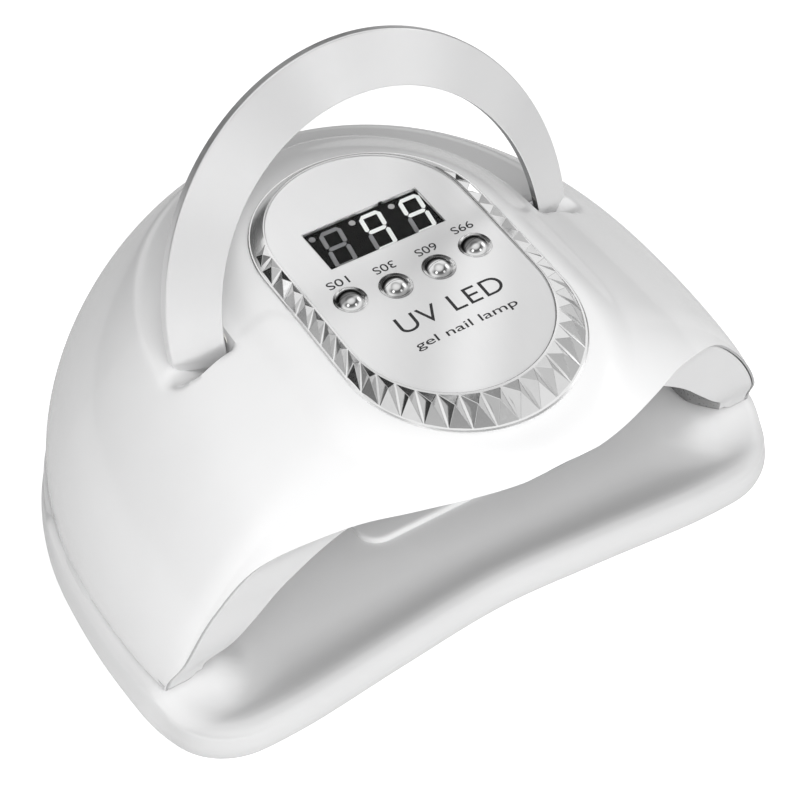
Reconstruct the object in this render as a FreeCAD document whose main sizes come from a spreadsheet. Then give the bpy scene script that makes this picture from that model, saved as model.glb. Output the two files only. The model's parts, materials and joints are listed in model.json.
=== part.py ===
import FreeCAD, Part
import math
import os
import Sketcher

# Two-hand curing lamp on a detachable tray.  Millimetres.  +Z is up, the hand opening faces -Y,
# X = 0 is the plane of symmetry and the origin is the centre of the lamp's footprint at table level.

doc = FreeCAD.newDocument("nail_lamp")
V = FreeCAD.Vector
Rot = FreeCAD.Rotation
Pl = FreeCAD.Placement

SIZES = [
    # tray
    ("tray_half_width", 124.7), ("tray_rear", 104.0), ("tray_under", 1.2), ("tray_top", 16.0),
    ("tray_floor", 13.0), ("tray_rim", 15.0), ("tray_nose_top", 7.0), ("tray_nose_low", 3.0),
    ("riser_top", 21.6), ("riser_margin", 2.2), ("riser_front", -74.0),
    ("pad_half_width", 29.0), ("pad_front", -41.0), ("pad_length", 68.0), ("pad_rise", 2.4),
    ("pad_corner", 8.0), ("foot_radius", 7.0), ("foot_sink", 0.8), ("magnet_radius", 5.0),
    ("magnet_thick", 2.5), ("disc_thick", 1.8),
    # shell dome
    ("dome_bottom", 22.0), ("dome_half_width", 119.76), ("dome_foot_half_width", 116.3),
    ("dome_rise", 91.86), ("dome_rear", 101.5), ("dome_crest", -18.1), ("dome_waist", -20.0),
    ("dome_plan_power", 2.295), ("dome_back_power", 3.08), ("dome_fall", 0.0000208),
    ("dome_front", -104.0), ("shell_wall", 2.5), ("fit_gap", 0.6),
    # liner
    ("cavity_half_width", 99.0), ("cavity_rise", 62.0), ("cavity_rear", 82.0),
    ("liner_wall", 2.0), ("lip_thick", 2.6), ("flange_thick", 3.0),
    # panel stack, measured from the top face of the plate
    ("panel_height", 114.4), ("panel_tilt", 2.7), ("plate_half_width", 34.0),
    ("plate_front", -41.0), ("plate_back", 1.9), ("plate_thick", 1.5),
    ("ring_half_width", 40.7), ("ring_front", -48.0), ("ring_back", -0.3),
    ("ring_crest", 1.2), ("ring_edge", -3.2), ("ring_skirt", 5.5),
    ("window_width", 43.0), ("window_depth", 18.4), ("window_middle", 0.3), ("lens_thick", 1.1),
    ("button_radius", 5.5), ("button_bore", 5.58), ("button_flange", 6.4), ("stem_radius", 2.0),
    ("stem_bore", 2.06), ("button_near", 8.0), ("button_far", 23.2), ("row_near", -25.3),
    ("row_far", -23.1), ("board_top", -11.0), ("board_thick", 1.6), ("switch_side", 6.0),
    ("switch_height", 3.5), ("plunger_radius", 1.6),
    # handle
    ("handle_half_width", 75.5), ("handle_height", 83.0), ("handle_inner_half", 59.7),
    ("handle_inner_height", 66.7), ("handle_cone", 7.8), ("handle_thick", 3.6),
    ("handle_lean", 16.2), ("handle_y", -1.2), ("handle_z", 94.4), ("handle_fold", 72.0),
    ("pivot_y", -2.7), ("pivot_z", 96.9), ("pivot_lug", 6.4), ("pin_radius", 2.2),
    ("pin_bore", 2.25), ("bush_radius", 3.6), ("groove_gap", 1.4),
    # electronics
    ("strip_width", 12.0), ("strip_thick", 1.2), ("strip_gap", 5.6), ("lens_radius", 2.9),
    ("lens_bore", 3.0), ("lens_length", 4.4), ("jack_height", 33.0), ("jack_radius", 5.4),
    ("jack_bore", 2.75), ("jack_depth", 9.5), ("jack_flange", 7.0), ("screw_radius", 1.5),
    ("screw_bore", 1.56), ("screw_head", 3.0), ("boss_radius", 4.5),
]
sheet = doc.addObject("Spreadsheet::Sheet", "Sizes")
for row, (alias, value) in enumerate(SIZES, start=1):
    sheet.set("A%d" % row, alias)
    sheet.set("B%d" % row, str(value))
    sheet.setAlias("B%d" % row, alias)
doc.recompute()


def size(alias):
    return float(sheet.get(alias))


nodes = []


def keep(obj, label):
    """Marks a document object as one named piece of the assembly."""
    obj.Label = label
    nodes.append(obj)
    return obj


def feature(label, shape, placement=None):
    obj = doc.addObject("Part::Feature", label)
    obj.Shape = shape
    if placement is not None:
        obj.Placement = placement
    return keep(obj, label)


def bound(kind, name, placement, **values):
    """A Part primitive whose sizes are expressions on the sheet."""
    obj = doc.addObject(kind, name)
    obj.Placement = placement
    for prop, expr in values.items():
        obj.setExpression(prop, expr)
    return obj


def compound(label, members, placement=None):
    obj = doc.addObject("Part::Compound", label)
    obj.Links = members
    if placement is not None:
        obj.Placement = placement
    return keep(obj, label)


def at(x, y, z, rotation=None):
    return Pl(V(x, y, z), rotation if rotation is not None else Rot())


# ---------------------------------------------------------------- free-form curves

def superellipse(u, power):
    return max(0.0, 1.0 - min(u, 1.0) ** power) ** (1.0 / power)


def plan_half_width(y, half, rear):
    """Half width of a dome at height dome_bottom."""
    waist = size("dome_waist")
    if y > waist:
        return half * superellipse((y - waist) / (rear - waist), size("dome_plan_power"))
    drop = size("dome_half_width") - size("dome_foot_half_width")
    return half - drop * min(1.0, (waist - y) / 48.0) ** 2


def crest_rise(y, rise, rear):
    """Rise of the dome's middle line above dome_bottom."""
    crest = size("dome_crest")
    if y < crest:
        return rise - size("dome_fall") * (crest - y) ** 3
    return rise * superellipse((y - crest) / (rear - crest), size("dome_back_power"))


def arch_power(y):
    """Exponent of the arch: nearly a half ellipse at the rear, more pointed towards the visor."""
    visor = min(max((-60.0 - y) / 44.0, 0.0), 1.0)
    return 1.139 - 0.127 * min(max((y + 70.0) / 90.0, 0.0), 1.0) + visor ** 2


def arch_point(y, phi, half, rise, rear, low):
    w = plan_half_width(y, half, rear)
    r = crest_rise(y, rise, rear) + size("dome_bottom") - low
    return V(w * math.sin(phi), y, low + r * max(math.cos(phi), 0.0) ** arch_power(y))


def arch_wire(y, half, rise, rear, low, count=17):
    steps = [math.pi * (i / (count - 1.0) - 0.5) for i in range(count)]
    points = [arch_point(y, phi, half, rise, rear, low) for phi in steps]
    curve = Part.BSplineCurve()
    curve.interpolate(points)
    return Part.Wire([curve.toShape(), Part.makeLine(points[-1], points[0])])


def dome(half, rise, rear, front, low):
    """Solid dome: arch sections skinned from front to rear."""
    waist = size("dome_waist")
    stations = [front + (waist - front) * i / 6.0 for i in range(7)]
    end = math.asin((rear - 0.5 - waist) / (rear - waist))
    stations += [waist + (rear - waist) * math.sin(end * i / 9.0) for i in range(1, 10)]
    wires = [arch_wire(y, half, rise, rear, low) for y in stations]
    return Part.makeLoft(wires, True, False)


def spline(points, closed=False):
    curve = Part.BSplineCurve()
    curve.interpolate(points, PeriodicFlag=closed)
    return curve.toShape()


def prism(wire, direction):
    return Part.Face(wire).extrude(direction)


def mouth(shift):
    """Side profile of the hand opening, swept across the lamp; shift moves it to the rear."""
    side = [(-62.8, 16.0), (-63.8, 26.0), (-68.2, 42.0), (-69.8, 60.0), (-72.6, 76.0),
            (-83.0, 89.1), (-93.0, 95.0), (-106.0, 100.4)]
    points = [V(-140, y + shift, z) for y, z in side]
    far = [V(-140, -112 + shift, 100.4), V(-140, -112 + shift, 16.0)]
    edges = [spline(points), Part.makeLine(points[-1], far[0]), Part.makeLine(far[0], far[1]),
             Part.makeLine(far[1], points[0])]
    return prism(Part.Wire(edges), V(280, 0, 0))


def stadium(half, front, back, z):
    """Closed outline with straight sides and round ends."""
    left = Part.makeLine(V(-half, front, z), V(-half, back, z))
    top = Part.Arc(V(-half, back, z), V(0, back + half, z), V(half, back, z)).toShape()
    right = Part.makeLine(V(half, back, z), V(half, front, z))
    low = Part.Arc(V(half, front, z), V(0, front - half, z), V(-half, front, z)).toShape()
    return Part.Wire([left, top, right, low])


# ---------------------------------------------------------------- tray

def tray_outline(z):
    half = size("tray_half_width")
    rear = size("tray_rear")
    waist = size("dome_waist")
    right = [(0.0, -80.0), (41.0, -82.8), (84.0, -86.3), (104.0, -84.8), (116.0, -76.5),
             (122.0, -62.0), (124.2, -42.0)]
    points = [V(x, y, z) for x, y in right]
    for part in (0.0, 0.28, 0.52, 0.7, 0.84, 0.94, 0.985):
        width = half * superellipse(part, size("dome_plan_power"))
        points.append(V(width, waist + (rear - waist) * part, z))
    points.append(V(0, rear, z))
    points += [V(-p.x, p.y, z) for p in reversed(points[1:-1])]
    return Part.Wire([spline(points, True)])


low = size("tray_under")
top = size("tray_top")
tray = prism(tray_outline(low), V(0, 0, top - low))
upper = [e for e in tray.Edges if abs(e.BoundBox.ZMin - top) < 0.01]
tray = tray.makeFillet(size("tray_nose_top"), upper)
tray = tray.makeFillet(size("tray_nose_low"), [e for e in tray.Edges
                                               if abs(e.BoundBox.ZMax - low) < 0.01])


def inset_outline(z, inset, count=36):
    """The tray's outline moved inward by inset."""
    edge = tray_outline(z).Edges[0]
    first, last = edge.ParameterRange
    points = []
    for i in range(count):
        at_param = first + (last - first) * i / count
        along = edge.tangentAt(at_param)
        inward = V(-along.y, along.x, 0)
        points.append(edge.valueAt(at_param) + inward * inset)
    return Part.Wire([spline(points, True)])


floor_wire = inset_outline(size("tray_floor"), size("tray_rim"))
well = prism(floor_wire, V(0, 0, 20))
well = well.makeFillet(2.6, [e for e in well.Edges
                             if abs(e.BoundBox.ZMax - size("tray_floor")) < 0.01])
tray = tray.cut(well)


def footprint(half, rear, z, front):
    """Plan outline of a dome at height z, cut straight across at front."""
    waist = size("dome_waist")
    points = [V(plan_half_width(front, half, rear), front, z)]
    points.append(V(plan_half_width(-45.0, half, rear), -45.0, z))
    for part in (0.0, 0.28, 0.52, 0.7, 0.84, 0.94, 0.985):
        y = waist + (rear - waist) * part
        points.append(V(plan_half_width(y, half, rear), y, z))
    points.append(V(0, rear, z))
    points += [V(-p.x, p.y, z) for p in reversed(points[:-1])]
    return Part.Wire([spline(points), Part.makeLine(points[-1], points[0])])


low_riser = top - 4.0
rise = size("riser_top") - low_riser
margin = size("riser_margin")
outer_plan = footprint(size("dome_half_width") + margin, size("dome_rear") + margin - 0.6,
                       low_riser, size("riser_front"))
inner_plan = footprint(size("cavity_half_width") + 3.0, size("cavity_rear") + 4.0,
                       low_riser, size("riser_front") - 20.0)
riser = prism(outer_plan, V(0, 0, rise)).cut(prism(inner_plan, V(0, 0, rise)))
ramp_line = [V(-140, -63.5, low_riser + rise), V(-140, -67.5, low_riser + rise - 0.9),
             V(-140, -72.0, low_riser + rise - 3.4), V(-140, -76.0, low_riser + rise - 6.6)]
ramp_back = V(-140, -76.0, low_riser + rise + 5)
ramp = prism(Part.Wire([spline(ramp_line), Part.makeLine(ramp_line[-1], ramp_back),
                        Part.makeLine(ramp_back, ramp_line[0])]), V(280, 0, 0))
riser = riser.cut(ramp)
tray = tray.fuse(riser)

pad = Part.makeBox(2 * size("pad_half_width"), size("pad_length"), size("pad_rise") + 2,
                   V(-size("pad_half_width"), size("pad_front"), size("tray_floor") - 2))
pad = pad.makeFillet(size("pad_corner"), [e for e in pad.Edges if e.BoundBox.ZLength > 3])
tray = tray.fuse(pad)


def rim_middle(y):
    """Middle of the band between the shell wall and the liner wall."""
    outer = plan_half_width(y, size("dome_half_width") - size("shell_wall"), size("dome_rear"))
    inner = plan_half_width(y, size("cavity_half_width") + 2.0, size("cavity_rear"))
    return (outer + inner) / 2


def both_sides(rows):
    spots = []
    for y in rows:
        spots += [(-rim_middle(y), y), (rim_middle(y), y)]
    return spots


MAGNETS = both_sides((-18.0, 48.0))
SCREWS = both_sides((-46.0, 16.0))
FEET = [(-100.0, -62.0), (100.0, -62.0), (-68.0, 72.0), (68.0, 72.0)]
for x, y in MAGNETS:
    tray = tray.cut(Part.makeCylinder(size("magnet_radius"), size("magnet_thick"),
                                      V(x, y, size("riser_top") - size("magnet_thick"))))
for x, y in FEET:
    tray = tray.cut(Part.makeCylinder(size("foot_radius"), size("foot_sink"), V(x, y, low)))
feature("tray", tray)

feet = [bound("Part::Cylinder", "Foot%d" % i, at(x, y, 0), Radius="Sizes.foot_radius",
              Height="Sizes.tray_under + Sizes.foot_sink") for i, (x, y) in enumerate(FEET)]
compound("rubber_feet", feet)
slugs = [bound("Part::Cylinder", "Magnet%d" % i,
               at(x, y, size("riser_top") - size("magnet_thick")),
               Radius="Sizes.magnet_radius", Height="Sizes.magnet_thick")
         for i, (x, y) in enumerate(MAGNETS)]
compound("tray_magnets", slugs)


# ---------------------------------------------------------------- handle band

def rail(half, height, leg, y):
    """Half ellipse with straight legs, at depth y of the handle's own frame."""
    points = [V(half * math.cos(math.pi * i / 20), y, height * math.sin(math.pi * i / 20))
              for i in range(21)]
    right = Part.makeLine(V(half, y, -leg), points[0])
    left = Part.makeLine(points[-1], V(-half, y, -leg))
    return [right, spline(points), left]


def band(grow_in, grow_out, lift, drop, leg):
    """Bent strip whose inner edge stands further forward than its outer edge."""
    ri = size("handle_inner_half") - grow_in
    hi = size("handle_inner_height") - grow_in
    ro = size("handle_half_width") + grow_out
    ho = size("handle_height") + grow_out
    front = -size("handle_cone")
    back = size("handle_thick")
    rails = [rail(ri, hi, leg, front - lift), rail(ro, ho, leg, -lift),
             rail(ro, ho, leg, back + drop), rail(ri, hi, leg, front + back + drop)]
    faces = []
    for i in range(4):
        for a, b in zip(rails[i], rails[(i + 1) % 4]):
            faces.append(Part.makeRuledSurface(a, b))
    for side in (1, -1):
        corners = [V(side * ri, front - lift, -leg), V(side * ro, -lift, -leg),
                   V(side * ro, back + drop, -leg), V(side * ri, front + back + drop, -leg)]
        faces.append(Part.Face(Part.makePolygon(corners + [corners[0]])))
    solid = Part.Solid(Part.makeShell(faces))
    if solid.Volume < 0:
        solid.reverse()
    return solid


pivot = V(0, size("pivot_y"), size("pivot_z"))
upright = at(0, size("handle_y"), size("handle_z"), Rot(V(1, 0, 0), -size("handle_lean")))


def folded(shape):
    """Moves a shape from the handle's frame to the folded-back position."""
    result = shape.copy()
    result.Placement = upright
    result.rotate(pivot, V(1, 0, 0), -size("handle_fold"))
    return result


def side_cylinders(radius, near, far):
    """A cylinder across each end of the pivot axis."""
    right = Part.makeCylinder(radius, far - near, V(near, pivot.y, pivot.z), V(1, 0, 0))
    left = Part.makeCylinder(radius, far - near, V(-near, pivot.y, pivot.z), V(-1, 0, 0))
    return right, left


lug_near = size("handle_inner_half") + 0.8
lug_far = size("handle_half_width") - 0.8
blade = band(0, 0, 0, 0, 0.5)
blade.Placement = upright
lugs = side_cylinders(size("pivot_lug"), lug_near, lug_far)
bores = side_cylinders(size("pin_radius"), lug_near - 3, lug_near + 6.0)
handle = blade.fuse(list(lugs)).cut(list(bores))
feature("handle", handle)

pin_end = size("handle_inner_half") - 10.2
pins = side_cylinders(size("pin_radius"), pin_end, lug_near + 6.0)
feature("pivot_pins", Part.makeCompound(list(pins)))
collar = side_cylinders(size("pin_radius") + 2.2, pin_end + 0.5, pin_end + 2.1)
neck = side_cylinders(size("pin_radius"), pin_end, pin_end + 3)
feature("pivot_collars", Part.makeCompound([c.cut(n) for c, n in zip(collar, neck)]))

gap = size("groove_gap")
wall = size("shell_wall")
groove = folded(band(gap, gap, 40, gap, 0.5))
socket_near = size("handle_inner_half") - gap - 0.4
sockets = side_cylinders(size("pivot_lug") + gap, socket_near, size("handle_half_width") + 3)
groove_skin = folded(band(gap + wall, gap + wall, 40, gap + wall, 0.5))
socket_skin = side_cylinders(size("pivot_lug") + gap + wall, socket_near - wall,
                             size("handle_half_width") + 3 + wall)

# ---------------------------------------------------------------- shell and liner

tilt = Rot(V(1, 0, 0), size("panel_tilt"))
panel = at(0, 0, size("panel_height"), tilt)


def on_panel(shape):
    result = shape.copy()
    result.Placement = panel.multiply(shape.Placement)
    return result


floor = size("dome_bottom")
fit = size("fit_gap")
half = size("dome_half_width")
full = size("dome_rise")
rear = size("dome_rear")
front = size("dome_front")
skin = dome(half, full, rear, front, floor)
void = dome(half - wall, full - wall, rear - wall, front - 4, floor - 1)
void = void.cut([groove_skin] + list(socket_skin))
opening = mouth(0)

deck_lip = prism(stadium(size("ring_half_width") + 1.6, size("ring_front"), size("ring_back"),
                         -9.0), V(0, 0, 9.0 + size("ring_edge") + 0.4))
shell = skin.fuse(on_panel(deck_lip))
shell = shell.cut([groove] + list(sockets))
shell = shell.cut(void)
shell = shell.cut(opening)
seat = stadium(size("ring_half_width") + 0.2, size("ring_front"), size("ring_back"),
               -size("ring_skirt"))
shell = shell.cut(on_panel(prism(seat, V(0, 0, 20))))
hatch = stadium(size("plate_half_width") - 2.0, size("plate_front"), size("plate_back"), -20.0)
shell = shell.cut(on_panel(prism(hatch, V(0, 0, 30))))
bosses = []
for x, y in SCREWS:
    bosses.append(Part.makeCylinder(size("boss_radius"), 34.0, V(x, y, floor + 3.6)))
bosses = [b.common(skin) for b in bosses]
shell = shell.fuse(bosses)
pilots = [Part.makeCylinder(size("screw_bore"), 18.0, V(x, y, floor)) for x, y in SCREWS]
sleeves = side_cylinders(size("bush_radius"), size("handle_inner_half") - 8,
                         size("handle_inner_half") + 1)
jack_hole = Part.makeCylinder(size("jack_radius") + 0.1, 20.0,
                              V(0, rear - 12.0, size("jack_height")), V(0, 1, 0))
slots = []
for i in range(6):
    for side in (-1, 1):
        slots.append(Part.makeBox(2.4, 50.0, 20.0, V(side * (26.0 + 6.0 * i) - 1.2, 70.0, 34.0)))
shell = shell.cut(pilots + list(sleeves) + [jack_hole] + slots)
feature("outer_shell", shell)

lining = dome(half - wall - fit, full - wall - fit, rear - wall - fit, front - 4, floor + 0.3)
lining = lining.cut([groove_skin] + list(socket_skin))
cavity_half = size("cavity_half_width")
cavity_rise = size("cavity_rise")
cavity_rear = size("cavity_rear")
thin = size("liner_wall")
cavity = dome(cavity_half, cavity_rise, cavity_rear, front - 6, floor - 2)
sleeve = dome(cavity_half + thin, cavity_rise + thin, cavity_rear + thin, front - 5, floor + 0.3)
lip = size("lip_thick")
flange = Part.makeBox(280, 240, size("flange_thick"), V(-140, -120, floor + 0.3))
edge_band = lining.common(mouth(lip))
liner = sleeve.fuse([lining.common(flange), edge_band])
liner = liner.cut([cavity, opening])
discs = [Part.makeCylinder(size("magnet_radius"), size("disc_thick"), V(x, y, floor + 0.3))
         for x, y in MAGNETS]
holes = [Part.makeCylinder(size("screw_bore"), 12.0, V(x, y, floor)) for x, y in SCREWS]
heads = [Part.makeCylinder(size("screw_head") + 0.1, 1.5, V(x, y, floor + 0.3))
         for x, y in SCREWS]


def cavity_frame(y, phi):
    """Point on the cavity roof and the outward direction there."""
    here = arch_point(y, phi, cavity_half, cavity_rise, cavity_rear, floor)
    near = arch_point(y, phi + 0.01, cavity_half, cavity_rise, cavity_rear, floor)
    run = near.sub(here)
    return here, V(-run.z, 0, run.x).normalize()


STRIPS = (-44.0, -14.0, 16.0, 44.0)
lamps = []
for y in STRIPS:
    for i in range(7):
        lamps.append(cavity_frame(y, math.radians(18.0 * (i - 3))))
lens_holes = [Part.makeCylinder(size("lens_bore"), 9.0, p.sub(n * 4), n) for p, n in lamps]
SENSORS = (-9.0, 9.0)
sensor_frames = [cavity_frame(-58.0, x / 99.0) for x in SENSORS]
sensor_holes = [Part.makeCylinder(2.6, 9.0, p.sub(n * 4), n) for p, n in sensor_frames]
liner = liner.cut(discs + holes + heads + lens_holes + sensor_holes)
feature("inner_liner", liner)

slugs = [bound("Part::Cylinder", "Disc%d" % i, at(x, y, floor + 0.3),
               Radius="Sizes.magnet_radius", Height="Sizes.disc_thick")
         for i, (x, y) in enumerate(MAGNETS)]
compound("liner_discs", slugs)


def screw(x, y, z, length, radius, head):
    """Pan screw with a cross recess; z is the underside of the head, thread upward."""
    body = Part.makeCylinder(radius, length, V(x, y, z))
    cap = Part.makeCylinder(head, 1.4, V(x, y, z - 1.4))
    slot_a = Part.makeBox(head * 1.3, 0.7, 0.8, V(x - head * 0.65, y - 0.35, z - 1.4))
    slot_b = Part.makeBox(0.7, head * 1.3, 0.8, V(x - 0.35, y - head * 0.65, z - 1.4))
    return body.fuse(cap).cut([slot_a, slot_b])


feature("shell_screws", Part.makeCompound(
    [screw(x, y, floor + 1.8, 12.0, size("screw_radius"), size("screw_head"))
     for x, y in SCREWS]))
bushes = [a.cut(b) for a, b in zip(
    side_cylinders(size("bush_radius"), size("handle_inner_half") - 8,
                   size("handle_inner_half") - gap),
    side_cylinders(size("pin_bore"), size("handle_inner_half") - 9,
                   size("handle_inner_half") + 1))]
feature("pivot_bushes", Part.makeCompound(bushes))

# ---------------------------------------------------------------- lamps inside the liner

for i, y in enumerate(STRIPS):
    arcs = []
    for grow in (size("strip_gap"), size("strip_gap") + size("strip_thick")):
        steps = [math.radians(62.0 * (k / 6.0 - 1)) for k in range(13)]
        arcs.append([arch_point(y, phi, cavity_half + grow, cavity_rise + grow,
                                cavity_rear + grow, floor) for phi in steps])
    ends = [Part.makeLine(arcs[0][-1], arcs[1][-1]), Part.makeLine(arcs[1][0], arcs[0][0])]
    outline = Part.Wire(Part.__sortEdges__([spline(arcs[0]), spline(arcs[1])] + ends))
    strip = prism(outline, V(0, size("strip_width"), 0))
    strip.translate(V(0, -size("strip_width") / 2, 0))
    feature("led_strip_%d" % (i + 1), strip)
chips = []
lenses = []
for p, n in lamps:
    lens = Part.makeCylinder(size("lens_radius"), size("lens_length") - 1.2, p + n * 0.7, n)
    bulb = Part.makeSphere(size("lens_radius"), p + n * 0.7)
    bulb = bulb.common(Part.makeCylinder(size("lens_radius"), 1.4, p - n * 0.7, n))
    lenses.append(lens.fuse(bulb))
    chips.append(Part.makeCylinder(1.7, 1.2, p + n * (size("lens_length") - 0.5), n))
feature("led_lenses", Part.makeCompound(lenses))
feature("led_chips", Part.makeCompound(chips))
eyes = []
for p, n in sensor_frames:
    eyes.append(Part.makeCylinder(2.5, 6.0, p - n * 0.4, n))
feature("hand_sensors", Part.makeCompound(eyes))

# ---------------------------------------------------------------- panel stack


def plate_body():
    """Control plate: rounded plate with a window and four button bores."""
    body = doc.addObject("PartDesign::Body", "PlateBody")
    origin = [f for f in body.Origin.OriginFeatures if f.Role == "XY_Plane"][0]
    sketch = body.newObject("Sketcher::SketchObject", "PlateSketch")
    sketch.AttachmentSupport = [(origin, "")]
    sketch.MapMode = "FlatFace"
    r = size("plate_half_width")
    f = size("plate_front")
    b = size("plate_back")
    sketch.addGeometry(Part.LineSegment(V(-r, f, 0), V(-r, b, 0)))
    sketch.addGeometry(Part.Arc(V(-r, b, 0), V(0, b + r, 0), V(r, b, 0)))
    sketch.addGeometry(Part.LineSegment(V(r, b, 0), V(r, f, 0)))
    sketch.addGeometry(Part.Arc(V(r, f, 0), V(0, f - r, 0), V(-r, f, 0)))
    w = size("window_width") / 2 + 0.15
    d = size("window_depth") / 2 + 0.1
    m = size("window_middle")
    ring = [V(-w, m - d, 0), V(w, m - d, 0), V(w, m + d, 0), V(-w, m + d, 0)]
    for i in range(4):
        sketch.addGeometry(Part.LineSegment(ring[i], ring[(i + 1) % 4]))
    for x, y in BUTTONS:
        index = sketch.addGeometry(Part.Circle(V(x, y, 0), V(0, 0, 1), 5.6))
        bore = Sketcher.Constraint("Radius", index, size("button_bore"))
        spot = sketch.addConstraint(bore)
        sketch.setExpression("Constraints[%d]" % spot, "Sizes.button_bore")
    pad_feature = body.newObject("PartDesign::Pad", "PlatePad")
    pad_feature.Profile = sketch
    pad_feature.Reversed = True
    pad_feature.setExpression("Length", "Sizes.plate_thick")
    body.Placement = panel
    return body


BUTTONS = [(-size("button_far"), size("row_far")), (-size("button_near"), size("row_near")),
           (size("button_near"), size("row_near")), (size("button_far"), size("row_far"))]
keep(plate_body(), "control_plate")

lens_box = bound("Part::Box", "WindowLens",
                 panel.multiply(at(-size("window_width") / 2,
                                   size("window_middle") - size("window_depth") / 2,
                                   -size("lens_thick") - 0.3)),
                 Length="Sizes.window_width", Width="Sizes.window_depth",
                 Height="Sizes.lens_thick")
keep(lens_box, "window_lens")

board_top = size("board_top")
module_top = -2.6
module = Part.makeBox(50.3, 19.0, module_top - board_top,
                      V(-25.15, size("window_middle") - 9.5, board_top))


def digit(x, middle):
    """One seven-segment digit, upright when read from the rear."""
    bars = []
    wide = 8.0
    tall = 15.8
    line = 1.6
    slant = math.radians(9.0)

    def bar(cx, cy, across):
        span = (wide if across else tall / 2) - line - 0.5
        tip = line / 2
        if across:
            shape = [(-span / 2 - tip * 0.2, 0), (-span / 2 + tip * 0.7, tip),
                     (span / 2 - tip * 0.7, tip), (span / 2 + tip * 0.2, 0),
                     (span / 2 - tip * 0.7, -tip), (-span / 2 + tip * 0.7, -tip)]
        else:
            shape = [(0, -span / 2 - tip * 0.2), (tip, -span / 2 + tip * 0.7),
                     (tip, span / 2 - tip * 0.7), (0, span / 2 + tip * 0.2),
                     (-tip, span / 2 - tip * 0.7), (-tip, -span / 2 + tip * 0.7)]
        points = [V(x + cx + px + (cy + py) * math.tan(slant), middle + cy + py, module_top)
                  for px, py in shape]
        points.append(points[0])
        bars.append(prism(Part.makePolygon(points), V(0, 0, 0.25)))

    for cy in (-tall / 2 + line / 2, 0, tall / 2 - line / 2):
        bar(0, cy, True)
    for cx in (-wide / 2 + line / 2, wide / 2 - line / 2):
        for cy in (-tall / 4 + 0.1, tall / 4 - 0.1):
            bar(cx, cy, False)
    dot = Part.makeCylinder(1.1, 0.25, V(x - wide / 2 - 2.7 + tall / 2 * math.tan(slant),
                                         middle + tall / 2 - 1.1, module_top))
    bars.append(dot)
    return bars


segments = []
for x in (-13.3, 1.65, 16.6):
    segments += digit(x, size("window_middle") + 0.4)
feature("display_module", on_panel(module))
feature("display_segments", on_panel(Part.makeCompound(segments)))


def button(x, y):
    """Domed cap with a retaining flange and a stem."""
    r = size("button_radius")
    chord = r - 0.5
    ball = (chord ** 2 + 1.5 ** 2) / 3.0
    shoulder = V(chord / 2, 0, 2.0 - ball + math.sqrt(ball ** 2 - chord ** 2 / 4))
    crown = Part.Arc(V(chord, 0, 0.5), shoulder, V(0, 0, 2.0)).toShape()
    points = [V(0, 0, -6.5), V(size("stem_radius"), 0, -6.5), V(size("stem_radius"), 0, -3.0),
              V(size("button_flange"), 0, -3.0), V(size("button_flange"), 0, -1.75),
              V(r, 0, -1.75), V(r, 0, 0.2), V(r - 0.5, 0, 0.5)]
    edges = [Part.makeLine(a, b) for a, b in zip(points, points[1:])]
    edges += [crown, Part.makeLine(V(0, 0, 2.0), points[0])]
    solid = Part.Face(Part.Wire(edges)).revolve(V(0, 0, 0), V(0, 0, 1), 360)
    solid.translate(V(x, y, 0))
    return solid


TIMES = ("10s", "30s", "60s", "99s")
switches = []
switch_top = board_top + size("switch_height")
for name, (x, y) in zip(TIMES, BUTTONS):
    feature("button_" + name, on_panel(button(x, y)))
    plunger = Part.makeCylinder(size("plunger_radius"), 2.4, V(x, y, -6.5 - 2.4))
    feature("plunger_" + name, on_panel(plunger))
    side = size("switch_side")
    body = Part.makeBox(side, side, size("switch_height"), V(x - side / 2, y - side / 2,
                                                            board_top))
    well = Part.makeCylinder(size("plunger_radius") + 0.05, 3.0, V(x, y, switch_top - 2.2))
    switches.append(body.cut(well))
feature("tact_switches", on_panel(Part.makeCompound(switches)))

under = board_top - size("board_thick")
BOARD_SCREWS = [(-27.0, -42.0), (27.0, -42.0), (-27.0, 12.5), (27.0, 12.5)]
frame = prism(stadium(size("plate_half_width") - 2.0, size("plate_front"), size("plate_back"),
                      -5.9), V(0, 0, 1.8))
frame = frame.fuse([Part.makeCylinder(2.6, -5.9 - board_top, V(x, y, board_top))
                    for x, y in BOARD_SCREWS])
frame = frame.cut([Part.makeBox(50.7, 19.4, 8.0, V(-25.35, size("window_middle") - 9.7, -9.0))]
                  + [Part.makeCylinder(size("stem_bore"), 4.0, V(x, y, -7.0))
                     for x, y in BUTTONS]
                  + [Part.makeCylinder(size("screw_bore"), 6.6, V(x, y, board_top))
                     for x, y in BOARD_SCREWS])
feature("panel_frame", on_panel(frame))

board = Part.makeBox(62.0, 62.0, size("board_thick"), V(-31.0, -46.0, under))
board_holes = [Part.makeCylinder(size("screw_bore"), 4.0, V(x, y, board_top - 3))
               for x, y in BOARD_SCREWS]
feature("control_board", on_panel(board.cut(board_holes)))
feature("board_screws", on_panel(Part.makeCompound(
    [screw(x, y, under, 6.5, size("screw_radius"), size("screw_head"))
     for x, y in BOARD_SCREWS])))

chip = Part.makeBox(10.0, 10.0, 1.4, V(-5.0, -24.0, under - 1.4))
small = [Part.makeBox(5.0, 4.0, 1.4, V(x, -38.0, under - 1.4)) for x in (-18.0, 12.0)]
feature("control_chips", on_panel(Part.makeCompound([chip] + small)))

# ---------------------------------------------------------------- trim ring

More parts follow.
